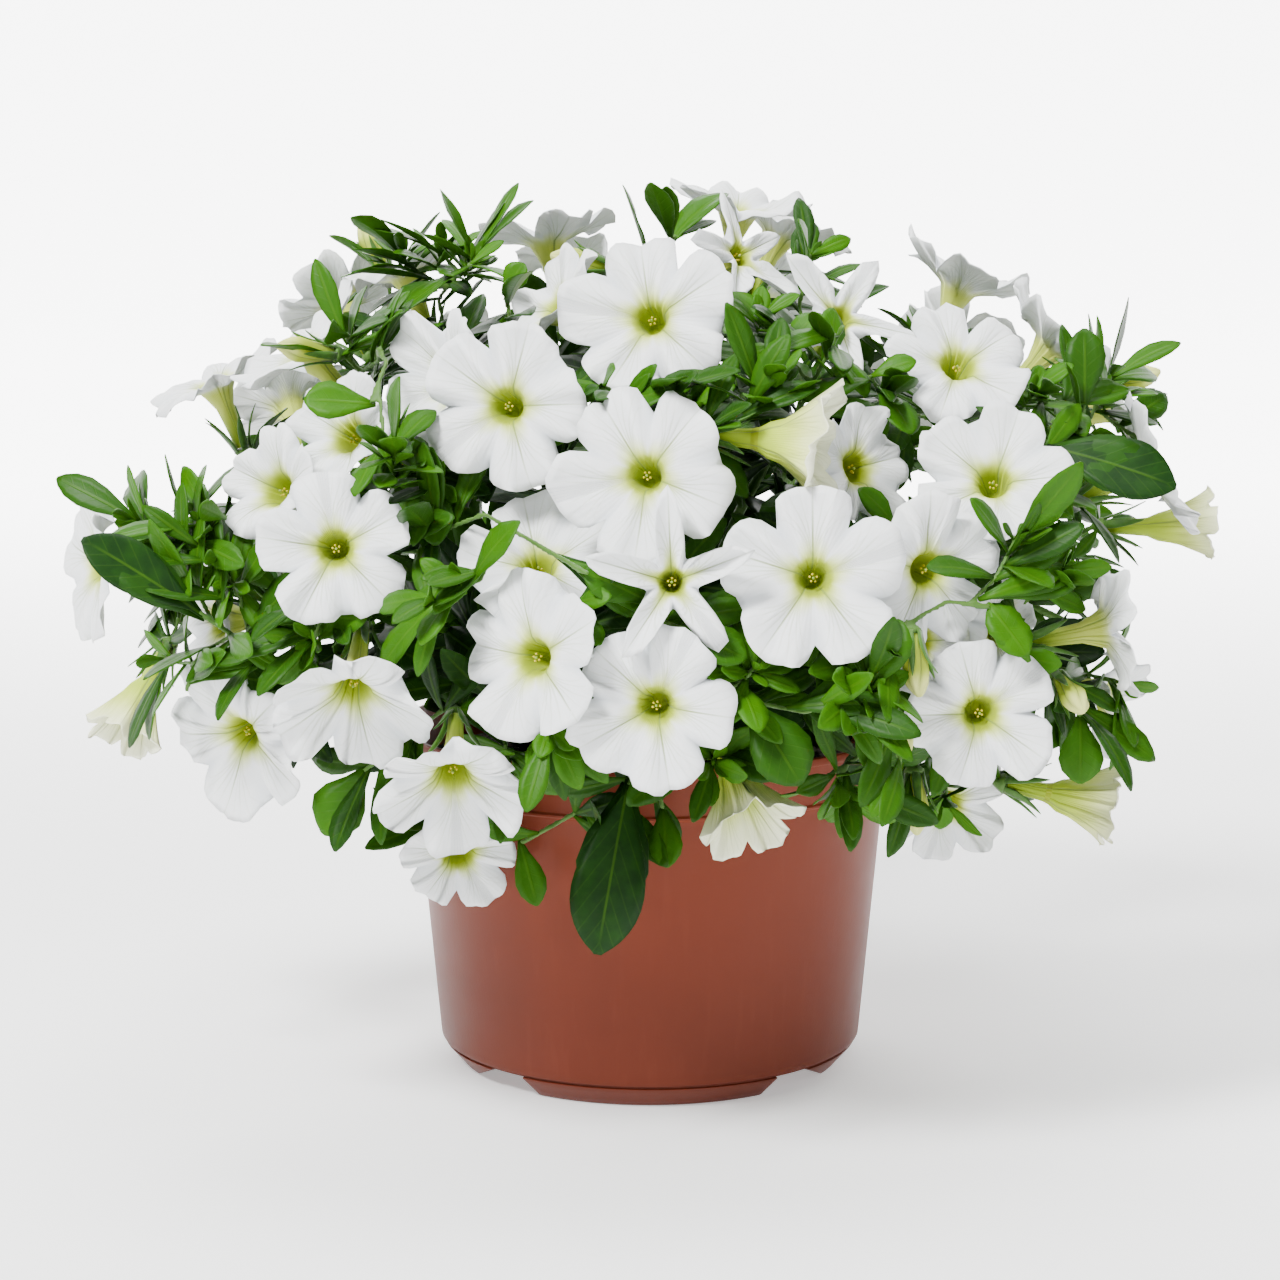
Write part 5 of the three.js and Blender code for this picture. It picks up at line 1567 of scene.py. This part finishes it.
class CALIBRACHOA_OT_soil(bpy.types.Operator):
    """Builds the crumbly peat that fills the pot"""

    bl_idname = "calibrachoa.soil"
    bl_label = "Soil"

    def execute(self, context):
        options = settings("calibrachoa_soil")
        radii = [SOIL_RADIUS - SOIL_RING * step for step in range(SOIL_RINGS)]
        rows = [*SOIL_WALL, *((radius, soil_height(radius)) for radius in radii)]
        soil = closed_tube("peat", SOIL_COLUMNS, len(rows))
        for vertex in soil.data.vertices:
            ring = round(vertex.co.z)
            if ring < 0:
                vertex.co = Vector((0, 0, SOIL_FLOOR * MM))
                continue
            radius, height = rows[min(ring, len(rows) - 1)]
            if ring >= len(rows):
                radius = 0.0
            place = Vector((vertex.co.x * radius, vertex.co.y * radius, height))
            if ring >= len(SOIL_WALL):
                place.z += noise.noise(place * 0.55) * 0.9 + noise.noise(place * 1.3) * 0.7 - 0.5
            vertex.co = place * MM
        make_active(soil)
        bpy.ops.object.shade_smooth()
        light = tuple(3.2 * part for part in options.color)
        peat = plain_material("peat", tuple(options.color), light, 0.95, 700.0, 0.9)
        soil.data.materials.clear()
        soil.data.materials.append(peat)
        self.add_crumbs(soil, options.crumb / MM, peat)
        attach(soil, "root")
        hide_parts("soil")
        return {"FINISHED"}

    def add_crumbs(self, soil, size, peat):
        """Loose crumbs on the surface, copied from one faceted lump."""
        deselect_all()
        bpy.ops.mesh.primitive_ico_sphere_add(subdivisions=1, radius=1)
        shape, faces = taken_apart(bpy.context.object)
        rng = random.Random(4)
        gathered = Collected()
        for _ in range(CRUMBS):
            angle, reach = rng.uniform(0, 6.283), CRUMB_REACH * math.sqrt(rng.random())
            half = size / 2 * rng.uniform(0.3, 1)
            stretch = np.array([rng.uniform(0.6, 1.1), rng.uniform(0.6, 1.1), rng.uniform(0.4, 0.8)])
            shift = Vector((angle, reach, 0))
            rough = np.array([noise.noise(Vector(corner) * 2 + shift) for corner in shape])
            corners = shape * (1 + 0.3 * rough)[:, None] * half * stretch
            height = soil_height(reach) - 0.5 + 0.3 * half
            spot = np.array((reach * math.cos(angle), reach * math.sin(angle), height))
            gathered.add(corners + spot, faces, no_uvs(faces), 0)
        crumbs = gathered.piece("peat_crumbs", [peat], smooth=False)
        make_active(crumbs)
        soil.select_set(True)
        bpy.context.view_layer.objects.active = soil
        bpy.ops.object.join()


# ---- stage


class CALIBRACHOA_OT_stage(bpy.types.Operator):
    """Sets up the pale floor, the soft studio lights and the camera"""

    bl_idname = "calibrachoa.stage"
    bl_label = "Stage"

    def execute(self, context):
        self.make_floor()
        self.make_lights()
        self.make_camera()
        return {"FINISHED"}

    def make_floor(self):
        """A pale floor that curves up into a wall behind the plant, which glows softly."""
        deselect_all()
        bpy.ops.mesh.primitive_plane_add(size=FLOOR_SIZE, location=(0, 0, 0))
        floor = bpy.context.object
        floor.name = "studio_floor"
        corners = floor.data.vertices
        at_back = [vertex.index for vertex in corners if vertex.co.y > FLOOR_SIZE / 2 - 0.1]
        edit_only(floor, "EDGE", lambda edge: set(edge.vertices) <= set(at_back))
        extrude(WALL_HEIGHT)
        bpy.ops.object.mode_set(mode="OBJECT")
        apply_modifier(floor, "BEVEL", width=COVE, segments=16, limit_method="ANGLE")
        make_active(floor)
        bpy.ops.object.shade_smooth()
        m = Nodes("pale floor")
        m.link(m.mix(m.noise(3.0, 2), (0.86, 0.86, 0.86), (0.88, 0.88, 0.88)), "Base Color")
        m.set(Roughness=0.9, Emission_Color=(1, 1, 1, 1))
        back = m.new("ShaderNodeSeparateXYZ", {0: m.place()}).outputs[1]
        glow = m.plus(m.times(m.step(back, *WALL_GLOW_FROM), WALL_GLOW), FLOOR_GLOW)
        m.link(glow, "Emission Strength")
        floor.data.materials.append(m.material)

    def make_lights(self):
        world = bpy.context.scene.world or bpy.data.worlds.new("studio")
        bpy.context.scene.world = world
        world.use_nodes = True
        background = world.node_tree.nodes["Background"]
        background.inputs["Color"].default_value = (1, 1, 1, 1)
        background.inputs["Strength"].default_value = WORLD_LIGHT
        for name, place, size, power in LIGHTS:
            light = bpy.data.lights.new(name, "AREA")
            light.shape = "RECTANGLE"
            light.size, light.size_y = size
            light.energy = power
            lamp = bpy.data.objects.new(name, light)
            lamp.location = place
            lamp.rotation_euler = (LIGHT_AIM - Vector(place)).to_track_quat("-Z", "Y").to_euler()
            bpy.context.scene.collection.objects.link(lamp)

    def make_camera(self):
        options = settings("calibrachoa_stage")
        camera = bpy.data.cameras.new("studio_camera")
        camera.lens = LENS
        camera.sensor_width = SENSOR
        camera.shift_x = -PICTURE_SHIFT / PICTURE_SIDE
        camera.shift_y = PICTURE_SHIFT / PICTURE_SIDE
        camera.clip_end = 50
        eye = bpy.data.objects.new("studio_camera", camera)
        back = options.distance * math.cos(options.elevation)
        eye.location = (0, -back, CAMERA_AIM + options.distance * math.sin(options.elevation))
        eye.rotation_euler = (math.pi / 2 - options.elevation, 0, 0)
        bpy.context.scene.collection.objects.link(eye)
        bpy.context.scene.camera = eye


# ---- add-on

# Each step's settings on the scene, their class and the operator that builds it.
STEPS = (
    ("calibrachoa_stage", StageSettings, CALIBRACHOA_OT_stage),
    ("calibrachoa_pot", PotSettings, CALIBRACHOA_OT_pot),
    ("calibrachoa_soil", SoilSettings, CALIBRACHOA_OT_soil),
    ("calibrachoa_bloom", BloomSettings, CALIBRACHOA_OT_corollas),
    ("calibrachoa_foliage", FoliageSettings, CALIBRACHOA_OT_leafy_stems),
)


class CALIBRACHOA_PT_panel(bpy.types.Panel):
    """Lists the plant's parts and their sizes and colours"""

    bl_idname = "CALIBRACHOA_PT_panel"
    bl_label = "Calibrachoa"
    bl_space_type = "VIEW_3D"
    bl_region_type = "UI"
    bl_category = "Calibrachoa"

    def draw(self, context):
        for name, group, operator in STEPS:
            box = self.layout.box()
            for key in group.__annotations__:
                box.prop(settings(name), key)
            box.operator(operator.bl_idname)


def register():
    for name, group, operator in STEPS:
        bpy.utils.register_class(group)
        setattr(bpy.types.Scene, name, bpy.props.PointerProperty(type=group))
        bpy.utils.register_class(operator)
    bpy.utils.register_class(CALIBRACHOA_PT_panel)


def unregister():
    bpy.utils.unregister_class(CALIBRACHOA_PT_panel)
    for name, group, operator in reversed(STEPS):
        bpy.utils.unregister_class(operator)
        delattr(bpy.types.Scene, name)
        bpy.utils.unregister_class(group)


def main():
    register()
    bpy.ops.calibrachoa.stage()
    bpy.ops.calibrachoa.pot()
    bpy.ops.calibrachoa.soil()
    bpy.ops.calibrachoa.corollas()
    bpy.ops.calibrachoa.leafy_stems()


if __name__ == "__main__":
    main()
